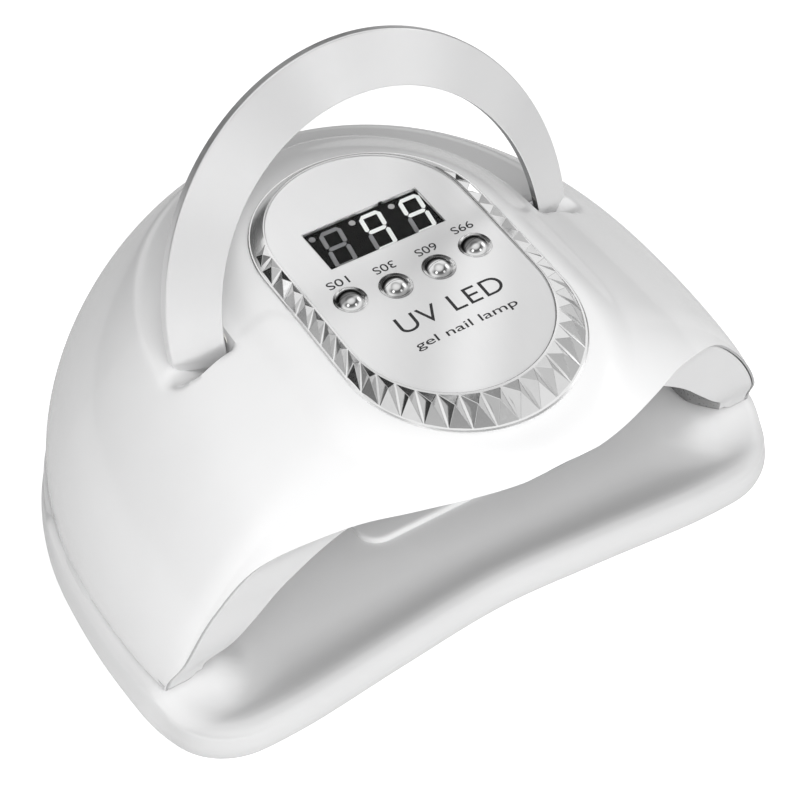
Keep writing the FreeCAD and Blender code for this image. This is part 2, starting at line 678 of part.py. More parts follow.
crest = size("ring_crest")
edge = size("ring_edge")
skirt = size("ring_skirt")
outer_wire = stadium(size("ring_half_width"), size("ring_front"), size("ring_back"), edge)
inner_wire = stadium(size("plate_half_width") + 0.3, size("plate_front"), size("plate_back"),
                     crest)
slope = Part.makeLoft([outer_wire, inner_wire], True, True)
rim = prism(stadium(size("ring_half_width"), size("ring_front"), size("ring_back"), -skirt),
            V(0, 0, skirt + edge))
inner_post = prism(stadium(size("plate_half_width") + 0.1, size("plate_front"),
                           size("plate_back"), -1.5), V(0, 0, 20))
ledge = prism(stadium(size("plate_half_width") - 2.0, size("plate_front"), size("plate_back"),
                      -20), V(0, 0, 40))


def ring_spot(share, outside):
    """Point along the ring; share runs from the rear left round the front to the rear right."""
    if outside:
        r, f, b = size("ring_half_width") - 0.7, size("ring_front"), size("ring_back")
        z = edge
    else:
        r, f, b = size("plate_half_width") + 0.9, size("plate_front"), size("plate_back")
        z = crest
    straight = b - f
    arc = math.pi * r
    s = share * (2 * straight + arc)
    if s < straight:
        return V(-r, b - s, z)
    if s < straight + arc:
        turn = (s - straight) / r
        return V(-r * math.cos(turn), f - r * math.sin(turn), z)
    return V(r, f + (s - straight - arc), z)


STUDS = 31


def stud(i):
    """Four-sided pyramid standing on the sloping ring."""
    a = i / float(STUDS)
    b = (i + 1.0) / STUDS
    base = [ring_spot(a, True), ring_spot(b, True), ring_spot(b, False), ring_spot(a, False)]
    middle = V(0, 0, 0)
    for p in base:
        middle = middle.add(p * 0.25)
    height = 2.4 * min(1.0, 0.35 + 4.0 * min(a, 1.0 - b))
    apex = middle.add(V(0, 0, height))
    under_base = [p.add(V(0, 0, -1.2)) for p in base]
    faces = []
    for k in range(4):
        p, q = base[k], base[(k + 1) % 4]
        u, w = under_base[k], under_base[(k + 1) % 4]
        faces.append(Part.Face(Part.makePolygon([p, q, apex, p])))
        faces.append(Part.Face(Part.makePolygon([p, q, u, p])))
        faces.append(Part.Face(Part.makePolygon([q, w, u, q])))
    faces.append(Part.Face(Part.makePolygon([under_base[0], under_base[1], under_base[2],
                                             under_base[0]])))
    faces.append(Part.Face(Part.makePolygon([under_base[0], under_base[2], under_base[3],
                                             under_base[0]])))
    solid = Part.Solid(Part.makeShell(faces))
    if solid.Volume < 0:
        solid.reverse()
    return solid


trim = rim.fuse([slope] + [stud(i) for i in range(STUDS)])
trim = trim.cut([inner_post, ledge])
feature("trim_ring", on_panel(trim))

# ---------------------------------------------------------------- power side

power = Part.makeBox(66.0, 30.0, 1.6, V(-33.0, 22.0, 91.2))
power = power.makeFillet(2.0, [e for e in power.Edges if e.BoundBox.ZLength > 1])
feature("power_board", power)
coil = Part.makeCylinder(6.0, 6.0, V(-20.0, 33.0, 92.8))
coil_two = Part.makeCylinder(6.0, 6.0, V(-4.0, 33.0, 92.8))
feature("power_coils", Part.makeCompound([coil, coil_two]))
cans = [Part.makeCylinder(4.0, 7.5, V(x, 31.0, 92.8)) for x in (10.0, 20.0)]
feature("power_capacitors", Part.makeCompound(cans))
gates = [Part.makeBox(6.6, 6.0, 2.3, V(x, 42.0, 92.8)) for x in (-26.0, -12.0, 2.0, 16.0)]
feature("power_transistors", Part.makeCompound(gates))

jack_z = size("jack_height")
jack = Part.makeCylinder(size("jack_radius"), 14.0, V(0, rear + 0.4, jack_z), V(0, -1, 0))
jack = jack.fuse(Part.makeCylinder(size("jack_flange"), 1.6, V(0, rear + 1.7, jack_z),
                                   V(0, -1, 0)))
jack = jack.cut(Part.makeCylinder(size("jack_bore"), size("jack_depth") + 0.1,
                                  V(0, rear + 1.8, jack_z), V(0, -1, 0)))
feature("power_jack", jack)
pin = Part.makeCylinder(1.0, 8.5, V(0, rear - 7.8, jack_z), V(0, 1, 0))
feature("jack_pin", pin)
nut = Part.makeCylinder(7.0, 2.4, V(0, rear - 6.4, jack_z), V(0, 1, 0))
nut = nut.cut(Part.makeCylinder(size("jack_radius"), 6.0, V(0, rear - 8.0, jack_z),
                                V(0, 1, 0)))
feature("jack_nut", nut)


def cable(points, radius=1.1):
    path = Part.Wire([spline([V(*p) for p in points])])
    start = path.Edges[0].valueAt(path.Edges[0].FirstParameter)
    along = path.Edges[0].tangentAt(path.Edges[0].FirstParameter)
    ring = Part.Wire([Part.Circle(start, along, radius).toShape()])
    return path.makePipeShell([ring], True, True)


feature("jack_cable", cable([(0, 86.4, 33.0), (0, 85.8, 50.0), (0, 79.6, 72.0),
                             (0, 66.0, 88.0), (0, 54.6, 91.9)], 1.3))
feature("board_cable", cable([(20.0, -8.0, 99.9), (20.0, 2.0, 96.4), (22.0, 12.0, 95.0),
                              (24.0, 21.6, 92.0)]))
link = [cable([(-34.6, 34.0, 92.0), (-46.0, 38.0, 88.0), (-54.0, 44.0, 80.0)]),
        cable([(34.6, 34.0, 92.0), (46.0, 38.0, 88.0), (54.0, 44.0, 80.0)])]
feature("strip_cables", Part.makeCompound(link))

# ---------------------------------------------------------------- check and export

doc.recompute()
for obj in doc.Objects:
    for state in obj.State:
        if state in ("Invalid", "Error"):
            raise RuntimeError("%s is %s" % (obj.Label, state))
os.makedirs("parts", exist_ok=True)
for name in sorted(os.listdir("parts")):
    os.remove(os.path.join("parts", name))
for obj in nodes:
    shape = obj.Shape
    if shape.isNull() or not shape.isValid():
        raise RuntimeError("%s has a bad shape" % obj.Label)
    box = shape.optimalBoundingBox(False)
    print("%-20s %2d solids %9.1f mm3  x %.1f..%.1f y %.1f..%.1f z %.1f..%.1f" % (
        obj.Label, len(shape.Solids), shape.Volume, box.XMin, box.XMax, box.YMin, box.YMax,
        box.ZMin, box.ZMax))
    shape.exportStep("parts/%s.step" % obj.Label)
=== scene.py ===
import json
import math
import bmesh
import bpy
import numpy as np
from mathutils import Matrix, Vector


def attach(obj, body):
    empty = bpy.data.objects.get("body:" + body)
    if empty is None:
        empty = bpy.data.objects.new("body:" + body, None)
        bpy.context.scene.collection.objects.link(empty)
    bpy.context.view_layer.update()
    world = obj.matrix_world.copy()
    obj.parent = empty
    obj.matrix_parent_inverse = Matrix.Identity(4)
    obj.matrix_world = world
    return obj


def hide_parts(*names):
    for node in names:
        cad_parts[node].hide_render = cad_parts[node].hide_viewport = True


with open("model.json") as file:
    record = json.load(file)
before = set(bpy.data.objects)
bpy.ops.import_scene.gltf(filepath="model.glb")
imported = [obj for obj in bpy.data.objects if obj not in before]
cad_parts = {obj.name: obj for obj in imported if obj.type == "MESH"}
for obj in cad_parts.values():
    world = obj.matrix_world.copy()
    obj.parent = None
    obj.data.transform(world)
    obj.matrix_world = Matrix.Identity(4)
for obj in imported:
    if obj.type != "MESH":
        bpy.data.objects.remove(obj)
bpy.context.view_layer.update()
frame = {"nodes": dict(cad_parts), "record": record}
MM = 0.001

# ---------------------------- shared shape rules, in mm

FLOOR = 22.0                       # height of the dome's bottom edge
WAIST = -20.0                      # y of the widest place, seen from above
CREST = -18.1                      # y of the highest arch
PLAN_POWER, BACK_POWER = 2.295, 3.08   # roundness of the rear from above and from the side
FOOT_DROP, FOOT_REACH = 3.46, 48.0     # how much the plan narrows ahead of the waist, and how far
OUTER = (119.76, 91.86, 101.5)     # half width, rise and rear end of the shell
INNER = (118.9, 91.0, 100.64)      # the same for the inner side of the shell's front edge
CAVITY = (99.0, 62.0, 82.0)        # the same for the hollow under the liner
PANEL_Z = 114.4                    # height of the control panel's plane at y = 0
TILT = math.radians(2.7)           # the panel rises to the rear
RING_LINE = (40.7, -48.0, -0.3)    # half width, front and rear centre of the ring's outer line
PLATE_LINE = (33.95, -41.0, 1.9)   # the same for the control plate
PIVOT_Y, PIVOT_Z = -2.7, 96.9      # axis of the handle


def superellipse(u, power):
    return np.maximum(0.0, 1.0 - np.clip(u, 0.0, 1.0) ** power) ** (1.0 / power)


def plan(y, half, rear):
    """Half width of a footprint at y."""
    y = np.asarray(y, float)
    back = half * superellipse((y - WAIST) / (rear - WAIST), PLAN_POWER)
    fore = half - FOOT_DROP * np.minimum(1.0, (WAIST - y) / FOOT_REACH) ** 2
    return np.where(y > WAIST, back, fore)


def dome(y, phi, size):
    """Point of a dome on the arch at y; phi runs from -90 to 90 degrees."""
    half, rise, rear = size
    y = np.asarray(y, float)
    w = plan(y, half, rear)
    r_back = rise * superellipse((y - CREST) / (rear - CREST), BACK_POWER)
    r_fore = rise - 0.0000208 * np.abs(CREST - y) ** 3
    r = np.where(y > CREST, r_back, r_fore)
    # the arch is nearly round, flatter over the rear and peaked at the front edge
    visor = np.clip((-60.0 - y) / 44.0, 0.0, 1.0)
    power = 1.139 - 0.127 * np.clip((y + 70.0) / 90.0, 0.0, 1.0) + visor ** 2
    z = FLOOR + r * np.maximum(np.cos(phi), 0.0) ** power
    return np.stack(np.broadcast_arrays(w * np.sin(phi), y, z), -1)


def catmull(points, count):
    """Smooth curve through a few points."""
    p = np.array(points, float)
    p = np.vstack([2 * p[0] - p[1], p, 2 * p[-1] - p[-2]])
    out = []
    for i in range(1, len(p) - 2):
        for t in np.linspace(0, 1, count, endpoint=False):
            a, b, c, d = p[i - 1], p[i], p[i + 1], p[i + 2]
            out.append(0.5 * (2 * b + (c - a) * t + (2 * a - 5 * b + 4 * c - d) * t * t
                              + (3 * b - a - 3 * c + d) * t ** 3))
    out.append(p[-2])
    return np.array(out)


# side profile of the hand opening, as y and z
MOUTH = catmull([(-62.8, 16.0), (-63.8, 26.0), (-68.2, 42.0), (-69.8, 60.0), (-72.6, 76.0),
                 (-83.0, 89.1), (-93.0, 95.0), (-104.0, 99.6)], 60)


def mouth_edge(phi, size):
    """Where the arch line phi of a dome meets the opening's side profile, and if it does."""
    ys = MOUTH[:, 0]
    gap = dome(ys, phi, size)[:, 2] - MOUTH[:, 1]
    hit = np.nonzero((gap[:-1] >= 0) & (gap[1:] < 0))[0]
    if len(hit) == 0:
        return ys[-1], False
    i = hit[0]
    t = gap[i] / (gap[i] - gap[i + 1])
    return ys[i] + t * (ys[i + 1] - ys[i]), True


def smooth(a, b, v):
    """Soft step from 0 at a to 1 at b."""
    t = np.clip((np.asarray(v, float) - a) / (b - a), 0.0, 1.0)
    return t * t * (3 - 2 * t)


def foot_lift(y):
    """The underside of the lamp head rises a little towards its two front feet."""
    return 1.3 * smooth(-36.0, -62.0, y)


def foot_set_back(p):
    """Lifts the front feet of the dome and turns their tips back."""
    p = np.array(p, float)
    y, z = p[..., 1].copy(), p[..., 2].copy()
    p[..., 1] += 1.4 * smooth(-44.0, -62.0, y) * (1.0 - smooth(22.0, 40.0, z))
    p[..., 2] += foot_lift(y) * (1.0 - smooth(22.0, 44.0, z))
    return p


def crown(v):
    """The panel is slightly domed from front to rear."""
    return 0.0005 * (v + 22.0) ** 2


def stadium_gap(x, y, half, front, back):
    """Signed distance outside a round-ended outline."""
    cy = np.clip(y, front, back)
    return np.hypot(x, y - cy) - half


def panel_point(u, v, w):
    """Panel coordinates (right, rear, up from the crowned face) to the object's frame."""
    w = w - crown(v)
    c, s = math.cos(TILT), math.sin(TILT)
    return np.stack(np.broadcast_arrays(u, v * c - w * s, PANEL_Z + v * s + w * c), -1)


# ---------------------------- mesh helpers


def build(name, verts, faces, body, material, smooth_shade=True):
    """Object from corners in mm, riding on a body."""
    mesh = bpy.data.meshes.new(name)
    mesh.from_pydata([tuple(float(c) * MM for c in v) for v in verts], [], faces)
    mesh.validate()
    if smooth_shade:
        mesh.polygons.foreach_set("use_smooth", [True] * len(mesh.polygons))
    obj = bpy.data.objects.new(name, mesh)
    bpy.context.scene.collection.objects.link(obj)
    mesh.materials.append(material)
    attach(obj, body)
    return obj


def grid(points, wrap_u=False, wrap_v=False, flip=False):
    """Quads over an array of points shaped (rows, columns, 3)."""
    n, m = points.shape[:2]
    faces = []
    for i in range(n if wrap_u else n - 1):
        for j in range(m if wrap_v else m - 1):
            a = i * m + j
            b = i * m + (j + 1) % m
            c = ((i + 1) % n) * m + (j + 1) % m
            d = ((i + 1) % n) * m + j
            faces.append((d, c, b, a) if flip else (a, b, c, d))
    return [tuple(p) for p in points.reshape(-1, 3)], faces


def weld(obj):
    """Joins corners that coincide and drops loose ones."""
    bm = bmesh.new()
    bm.from_mesh(obj.data)
    bmesh.ops.remove_doubles(bm, verts=bm.verts, dist=0.02 * MM)
    loose = [v for v in bm.verts if not v.link_faces]
    bmesh.ops.delete(bm, geom=loose, context="VERTS")
    bmesh.ops.recalc_face_normals(bm, faces=bm.faces)
    bm.to_mesh(obj.data)
    bm.free()


def crease_by_angle(obj, degrees):
    """Smooth shading, except across edges that bend more than this."""
    bm = bmesh.new()
    bm.from_mesh(obj.data)
    limit = math.radians(degrees)
    for e in bm.edges:
        e.smooth = not (len(e.link_faces) == 2 and e.calc_face_angle(0.0) > limit)
    for f in bm.faces:
        f.smooth = True
    bm.to_mesh(obj.data)
    bm.free()


def bevel(obj, width, segments, angle):
    mod = obj.modifiers.new("bevel", "BEVEL")
    mod.width = width * MM
    mod.segments = segments
    mod.limit_method = "ANGLE"
    mod.angle_limit = math.radians(angle)
    mod.harden_normals = True


# ---------------------------- materials


def add_node(tree, kind, **values):
    """New node; each value sets the input of that name, or else the property."""
    node = tree.nodes.new(kind)
    for key, value in values.items():
        if key in node.inputs:
            node.inputs[key].default_value = value
        else:
            setattr(node, key, value)
    return node


def fill_ramp(ramp, stops):
    """Greys of a colour ramp from (place, level) pairs."""
    ends = ramp.color_ramp.elements
    for element, (place, level) in zip(ends, (stops[0], stops[-1])):
        element.position = place
        element.color = (level, level, level, 1)
    for place, level in stops[1:-1]:
        ends.new(place).color = (level, level, level, 1)


def finish_material(name, colour, rough, metal=0.0, vary=0.03, scale=60.0, fine=900.0, bump=0.05,
                    coat=0.0, stretch=None, clear=0.0, emit=0.0, rough_vary=0.25, specular=0.5):
    """Moulded, plated or printed surface: colour drift, uneven sheen and fine texture."""
    material = bpy.data.materials.new(name)
    material.use_nodes = True
    tree = material.node_tree
    link = tree.links.new
    bsdf = tree.nodes["Principled BSDF"]
    place = add_node(tree, "ShaderNodeTexCoord").outputs["Object"]
    cloud = add_node(tree, "ShaderNodeTexNoise", Scale=scale, Detail=3.0)
    link(place, cloud.inputs["Vector"])
    tint = add_node(tree, "ShaderNodeValToRGB")
    for end, spot, change in zip(tint.color_ramp.elements, (0.3, 0.7), (1 - vary, 1 + vary)):
        end.position = spot
        end.color = [min(1.0, c * change) for c in colour] + [1.0]
    link(cloud.outputs["Fac"], tint.inputs["Fac"])
    link(tint.outputs["Color"], bsdf.inputs["Base Color"])
    if stretch:
        stretched = add_node(tree, "ShaderNodeMapping", Scale=stretch)
        link(place, stretched.inputs["Vector"])
        place = stretched.outputs["Vector"]
    grain = add_node(tree, "ShaderNodeTexNoise", Scale=fine, Detail=4.0)
    link(place, grain.inputs["Vector"])
    sheen = add_node(tree, "ShaderNodeMapRange",
                     **{"From Min": 0.3, "From Max": 0.7, "To Min": rough * (1 - rough_vary),
                        "To Max": rough * (1 + rough_vary)})
    link(grain.outputs["Fac"], sheen.inputs["Value"])
    link(sheen.outputs["Result"], bsdf.inputs["Roughness"])
    relief = add_node(tree, "ShaderNodeBump", Strength=bump, Distance=0.1 * MM)
    link(grain.outputs["Fac"], relief.inputs["Height"])
    link(relief.outputs["Normal"], bsdf.inputs["Normal"])
    for socket, value in (("Metallic", metal), ("Specular IOR Level", specular),
                          ("Coat Weight", coat), ("Coat Roughness", 0.05),
                          ("Transmission Weight", clear), ("Emission Strength", emit)):
        bsdf.inputs[socket].default_value = value
    if emit:
        link(tint.outputs["Color"], bsdf.inputs["Emission Color"])
    return material


def painted_light_bands(material, direction, start, stop, stops):
    """Multiplies the base colour by soft bands of painted light and shade between two distances
    (metres) along a direction.
    """
    tree = material.node_tree
    links = tree.links
    bsdf = tree.nodes["Principled BSDF"]
    source = add_node(tree, "ShaderNodeTexCoord")
    along = add_node(tree, "ShaderNodeVectorMath", operation="DOT_PRODUCT")
    along.inputs[1].default_value = direction
    links.new(source.outputs["Object"], along.inputs[0])
    place = add_node(tree, "ShaderNodeMapRange", **{"From Min": start, "From Max": stop})
    links.new(along.outputs["Value"], place.inputs["Value"])
    bands = add_node(tree, "ShaderNodeValToRGB")
    bands.color_ramp.interpolation = "EASE"
    fill_ramp(bands, stops)
    links.new(place.outputs["Result"], bands.inputs["Fac"])
    product = add_node(tree, "ShaderNodeMixRGB", blend_type="MULTIPLY", Fac=1.0)
    links.new(bsdf.inputs["Base Color"].links[0].from_socket, product.inputs["Color1"])
    links.new(bands.outputs["Color"], product.inputs["Color2"])
    links.new(product.outputs["Color"], bsdf.inputs["Base Color"])


SHELL = finish_material("gloss_white_shell", (0.86, 0.86, 0.862), 0.2, vary=0.008, bump=0.015,
                        coat=0.5)
# painted shade: dark grey for the white shell's own front edge
SHELL_EDGE_SHADE = finish_material("shell_edge_painted_shade", (0.34, 0.34, 0.342), 0.4, vary=0.01, bump=0.006)
TRAY = finish_material("satin_white_tray", (0.78, 0.78, 0.782), 0.3, vary=0.006, bump=0.006,
                       coat=0.15, rough_vary=0.08)
# painted light and shade: the tray's colour is darker along the front rim and full on the floor
# behind it, which the visor shades
painted_light_bands(TRAY, (0.0, 1.0, 0.0), -0.086, -0.046,
           [(0.0, 0.74), (0.3, 0.78), (0.75, 1.0), (1.0, 1.0)])
LINER = finish_material("pale_liner", (0.56, 0.56, 0.562), 0.34, vary=0.008, bump=0.006, coat=0.1,
                        rough_vary=0.08)
# half-metallic reflector, painted dark grey as the shade inside the hollow
CAVITY_SHADE = finish_material("cavity_reflector_painted_shade", (0.27, 0.27, 0.27), 0.32, metal=0.5, vary=0.03,
                              bump=0.02)
HANDLE = finish_material("silver_handle", (0.89, 0.89, 0.892), 0.34, metal=0.9, vary=0.01,
                         bump=0.008, scale=25.0, fine=500.0, rough_vary=0.1)
# painted shade: dark metal for one side of the silver bow
HANDLE_EDGE_SHADE = finish_material("handle_edge_painted_shade", (0.30, 0.30, 0.305), 0.18, metal=1.0, vary=0.02,
                              bump=0.006)
RING = finish_material("faceted_chrome", (0.76, 0.76, 0.76), 0.13, metal=1.0, vary=0.02,
                       bump=0.01)
RING_BAND = finish_material("plated_band", (0.88, 0.88, 0.88), 0.24, metal=0.9, vary=0.008,
                            bump=0.0, rough_vary=0.05)
PLATE = finish_material("brushed_plate", (0.92, 0.92, 0.922), 0.3, metal=0.8, vary=0.008,
                        bump=0.008, fine=1400.0, stretch=(1.0, 0.02, 1.0), rough_vary=0.08)
# painted reflection: soft diagonal light and dark bands multiplied into the plate's colour
painted_light_bands(PLATE, (0.8, -0.6, 0.0), -0.045, 0.07,
           [(0.0, 1.0), (0.38, 0.94), (0.56, 0.80), (0.68, 0.97), (0.82, 0.80), (1.0, 0.76)])
BUTTON = finish_material("button_chrome_mirror", (0.90, 0.90, 0.90), 0.045, metal=1.0, vary=0.02,
                         bump=0.005)
# painted reflection: the chrome caps are light over their front half and dark over their rear half,
# with a bright rear rim
painted_light_bands(BUTTON, (0.0, 1.0, 0.0), -0.0295, -0.0185,
           [(0.0, 0.4), (0.12, 0.85), (0.42, 0.85), (0.50, 0.25), (0.78, 0.07), (0.88, 0.4),
            (1.0, 1.0)])
WINDOW = finish_material("window_smoke", (0.80, 0.80, 0.80), 0.03, vary=0.02, bump=0.004,
                         clear=1.0)
WINDOW.node_tree.nodes["Principled BSDF"].inputs["IOR"].default_value = 1.15
SEGMENT = finish_material("segment_glow", (0.86, 0.88, 0.87), 0.4, vary=0.04, bump=0.01,
                          emit=0.55)
# unlit segments: dark grey with a faint painted glow
SEGMENT_DIM = finish_material("segment_dim", (0.32, 0.32, 0.33), 0.4, vary=0.05, bump=0.01,
                              emit=0.12)
SEGMENT_DOT = finish_material("segment_dot", (0.55, 0.55, 0.55), 0.4, vary=0.05, bump=0.01,
                              emit=0.2)
INK = finish_material("panel_ink", (0.012, 0.012, 0.013), 0.45, vary=0.3, bump=0.02)
LENS = finish_material("emitter_lens", (0.93, 0.95, 0.98), 0.06, vary=0.01, bump=0.01, clear=0.85)

# looks of the hidden pieces: slot, material name, colour, roughness and the rest
PLAIN_LOOKS = [
    ("foot_rubber", "rubber", (0.03, 0.03, 0.03), 0.75, {"vary": 0.2, "bump": 0.4}),
    ("magnet_steel", "nickel", (0.55, 0.54, 0.52), 0.25, {"metal": 1.0}),
    ("pin_steel", "steel", (0.50, 0.50, 0.51), 0.3,
     {"metal": 1.0, "bump": 0.08, "stretch": (1, 1, 0.05)}),
    ("bush_white", "acetal", (0.75, 0.74, 0.70), 0.45, {"bump": 0.1}),
    ("strip_aluminium", "strip_mask", (0.78, 0.78, 0.74), 0.4, {"bump": 0.1}),
    ("chip_yellow", "phosphor", (0.75, 0.66, 0.2), 0.5, {"bump": 0.1}),
    ("sensor_black", "sensor_lens", (0.02, 0.01, 0.02), 0.1, {"bump": 0.01, "coat": 0.5}),
    ("display_black", "module_black", (0.006, 0.006, 0.006), 0.8, {"specular": 0.05}),
    ("plunger_black", "plunger", (0.02, 0.02, 0.02), 0.5, {"bump": 0.1}),
    ("switch_steel", "switch_cover", (0.5, 0.5, 0.5), 0.35, {"metal": 1.0, "bump": 0.1}),
    ("frame_black", "black_frame", (0.02, 0.02, 0.02), 0.55, {"bump": 0.2}),
    ("board_green", "solder_mask", (0.01, 0.13, 0.05), 0.3, {"vary": 0.12, "bump": 0.1}),
    ("chip_black", "epoxy", (0.02, 0.02, 0.02), 0.55, {"bump": 0.2}),
    ("coil_copper", "winding", (0.35, 0.13, 0.05), 0.4,
     {"metal": 0.6, "bump": 0.6, "stretch": (0.02, 0.02, 1.0)}),
    ("can_aluminium", "can", (0.35, 0.38, 0.45), 0.35, {"metal": 0.8, "bump": 0.1}),
    ("jack_black", "jack_body", (0.015, 0.015, 0.015), 0.5, {"bump": 0.2}),
    ("contact_brass", "contact", (0.75, 0.55, 0.22), 0.25, {"metal": 1.0}),
    ("nut_nickel", "nut", (0.55, 0.54, 0.5), 0.3, {"metal": 1.0}),
    ("cable_black", "jacket", (0.02, 0.02, 0.02), 0.5, {"bump": 0.2}),
    ("cable_red", "red_jacket", (0.4, 0.03, 0.02), 0.5, {"bump": 0.2}),
]
SLOT_LOOKS = {slot: finish_material(name, colour, rough, **rest)
              for slot, name, colour, rough, rest in PLAIN_LOOKS}
SLOT_LOOKS.update({
    "tray_white": TRAY, "handle_plate": HANDLE, "shell_white": SHELL, "liner_silver": LINER,
    "plate_silver": PLATE, "window_dark": WINDOW, "segment_white": SEGMENT,
    "button_chrome": BUTTON, "ring_chrome": RING, "lens_clear": LENS})
for entry in frame["record"]["subparts"]:
    slots = frame["nodes"][entry["node"]].data.materials
    slots.clear()
    slots.append(SLOT_LOOKS[entry["material_slot"]])

# ---------------------------- outer shell

GROOVE_Y = -4.6                    # centre of the two half ellipses that bound the groove
GROOVE_IN, GROOVE_OUT = (58.3, 65.3), (76.9, 84.4)
SOCKET = 7.8                       # radius of the socket round each end of the handle
HATCH_HALF = 37.0                  # half width of the opening under the control panel
FOOT_STRIP = 1.2                   # width of the dome's bottom edge
JACK_Z = 33.0                      # height of the power jack


def shell_height(p):
    """Raised deck round the control ring and the groove the folded handle lies in."""
    x, y, z = p[..., 0], p[..., 1], p[..., 2]
    top = smooth(55.0, 75.0, z)
    v = y / math.cos(TILT)
    gap = stadium_gap(x, v, *RING_LINE)
    edge = PANEL_Z + y * math.tan(TILT) - 3.1 - crown(v)
    level = edge - 0.16 * np.maximum(gap, 0.0)
    out = z + (level - z) * (1.0 - smooth(1.5, 15.0, gap)) * top
    # groove: a conical seat between two half ellipses, plus a socket round each pivot
    dy = np.maximum(y - GROOVE_Y, 0.0)
    ri = np.hypot(x / GROOVE_IN[0], dy / GROOVE_IN[1])
    ro = np.hypot(x / GROOVE_OUT[0], dy / GROOVE_OUT[1])
    share = (ri - 1.0) / np.maximum(ri - ro, 1e-6)
    share = np.where(ro >= 1.0, 1.0, share)
    seat = 97.5 - 7.8 * np.clip(share, 0.0, 1.0) + 0.0314 * (y - GROOVE_Y)
    reach = SOCKET ** 2 - (y - PIVOT_Y) ** 2
    socket = PIVOT_Z - np.sqrt(np.maximum(reach, 0.0))
    seat = np.where(y < PIVOT_Y + SOCKET, np.minimum(seat, socket), seat)
    seat = np.where(y > PIVOT_Y, seat, socket)
    seat = seat + 3.0 * smooth(-8.5, -12.0, y)
    wall = smooth(0.985, 1.03, ri) * (1.0 - smooth(1.0, 1.12, ro)) * smooth(-12.5, -9.0, y)
    rounding = 0.9
    dip = 0.5 * ((seat - out) - np.hypot(seat - out, rounding))
    return out + dip * wall * top


def shell_rows(size, columns, rows):
    """Lines from the hand opening to the rear, one for each arch angle."""
    end = math.asin((size[2] - 0.5 - WAIST) / (size[2] - WAIST))
    table = np.zeros((columns, rows, 3))
    cuts = []
    split = 0.42
    s = np.linspace(0, 1, rows)
    back = WAIST + (size[2] - WAIST) * np.sin(end * (s - split) / (1 - split))
    for i, phi in enumerate(np.linspace(-math.pi / 2, math.pi / 2, columns)):
        y0, met = mouth_edge(phi, size)
        fore = y0 + (WAIST - y0) * s / split
        table[i] = dome(np.where(s < split, fore, back), phi, size)
        cuts.append(met)
    return table, cuts


def cut_slots(obj):
    """Twelve upright air slots through the rear of the dome, with a short wall behind each."""
    bm = bmesh.new()
    bm.from_mesh(obj.data)
    low, high = 34.0 * MM, 54.0 * MM
    first, pitch, half_width, depth = 26.0 * MM, 6.0 * MM, 1.2 * MM, 1.8 * MM
    rear, beside, above = 60.0 * MM, 5.0 * MM, 4.0 * MM
    for side in (-1, 1):
        for i in range(6):
            middle = side * (first + pitch * i)
            left, right = middle - half_width, middle + half_width
            for place, axis in (((left, 0, 0), (1, 0, 0)), ((right, 0, 0), (1, 0, 0)),
                                ((0, 0, low), (0, 0, 1)), ((0, 0, high), (0, 0, 1))):
                near = []
                for f in bm.faces:
                    c = f.calc_center_median()
                    tall = low - above < c.z < high + above
                    if c.y > rear and abs(c.x - middle) < beside and tall:
                        near.append(f)
                edges = list({e for f in near for e in f.edges})
                points = list({v for f in near for v in f.verts})
                bmesh.ops.bisect_plane(bm, geom=near + edges + points, plane_co=place,
                                       plane_no=axis)
            hole = []
            for f in bm.faces:
                c = f.calc_center_median()
                if c.y > rear and left < c.x < right and low < c.z < high:
                    hole.append(f)
            border = list({e for f in hole for e in f.edges
                           if sum(1 for g in e.link_faces if g in hole) == 1})
            bmesh.ops.delete(bm, geom=hole, context="FACES_ONLY")
            grown = bmesh.ops.extrude_edge_only(bm, edges=border)
            for v in grown["geom"]:
                if isinstance(v, bmesh.types.BMVert):
                    v.co.y -= depth
    bm.normal_update()
    bm.to_mesh(obj.data)
    bm.free()


outer, met = shell_rows(OUTER, 321, 250)
outer[..., 2] = shell_height(outer)
outer = foot_set_back(outer)
verts, faces = grid(outer, flip=True)
columns, rows = outer.shape[:2]
# open the dome under the control panel
flat = outer.reshape(-1, 3)
inside = stadium_gap(flat[:, 0], flat[:, 1], HATCH_HALF, *RING_LINE[1:]) < 0
faces = [f for f in faces if not all(inside[i] for i in f)]
# front edge: down from the dome to the opening's profile, then in to the liner
base = len(verts)
for (x, y, z), on_profile in zip(outer[:, 0], met):
    verts.append((x, y, z if on_profile else np.interp(y, MOUTH[::-1, 0], MOUTH[::-1, 1])))
for phi in np.linspace(-math.pi / 2, math.pi / 2, columns):
    inner_edge = dome(mouth_edge(phi, INNER)[0], phi, INNER)
    verts.append(tuple(foot_set_back(inner_edge)))
for i in range(columns - 1):
    a, b = i * rows, (i + 1) * rows
    c, d = base + i, base + i + 1
    faces.append((a, b, d, c))
    faces.append((c, d, d + columns, c + columns))
# bottom edge, turned in under the dome
bottom = len(verts)
for col in (0, columns - 1):
    verts += [(x - math.copysign(FOOT_STRIP, x), y, z) for x, y, z in outer[col]]
for k, col in enumerate((0, columns - 1)):
    for j in range(rows - 1):
        a, b = col * rows + j, col * rows + j + 1
        c, d = bottom + k * rows + j, bottom + k * rows + j + 1
        faces.append((a, c, d, b) if k == 0 else (a, b, d, c))
# flat jack seat at the rear
last = [i * rows + rows - 1 for i in range(columns)]
centre = len(verts)
verts.append((0.0, float(outer[0, -1, 1]), JACK_Z))
faces += [(a, b, centre) for a, b in zip(last, last[1:])]
shell = build("shell_dome", verts, faces, "lamp_head", SHELL)
shell.data.materials.append(SHELL_EDGE_SHADE)
# painted shade: the edge strip from the opening's profile in to the liner takes the dark grey
for polygon in shell.data.polygons:
    polygon.material_index = int(all(base <= i < bottom for i in polygon.vertices))
weld(shell)
cut_slots(shell)
crease_by_angle(shell, 38)
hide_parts("outer_shell")

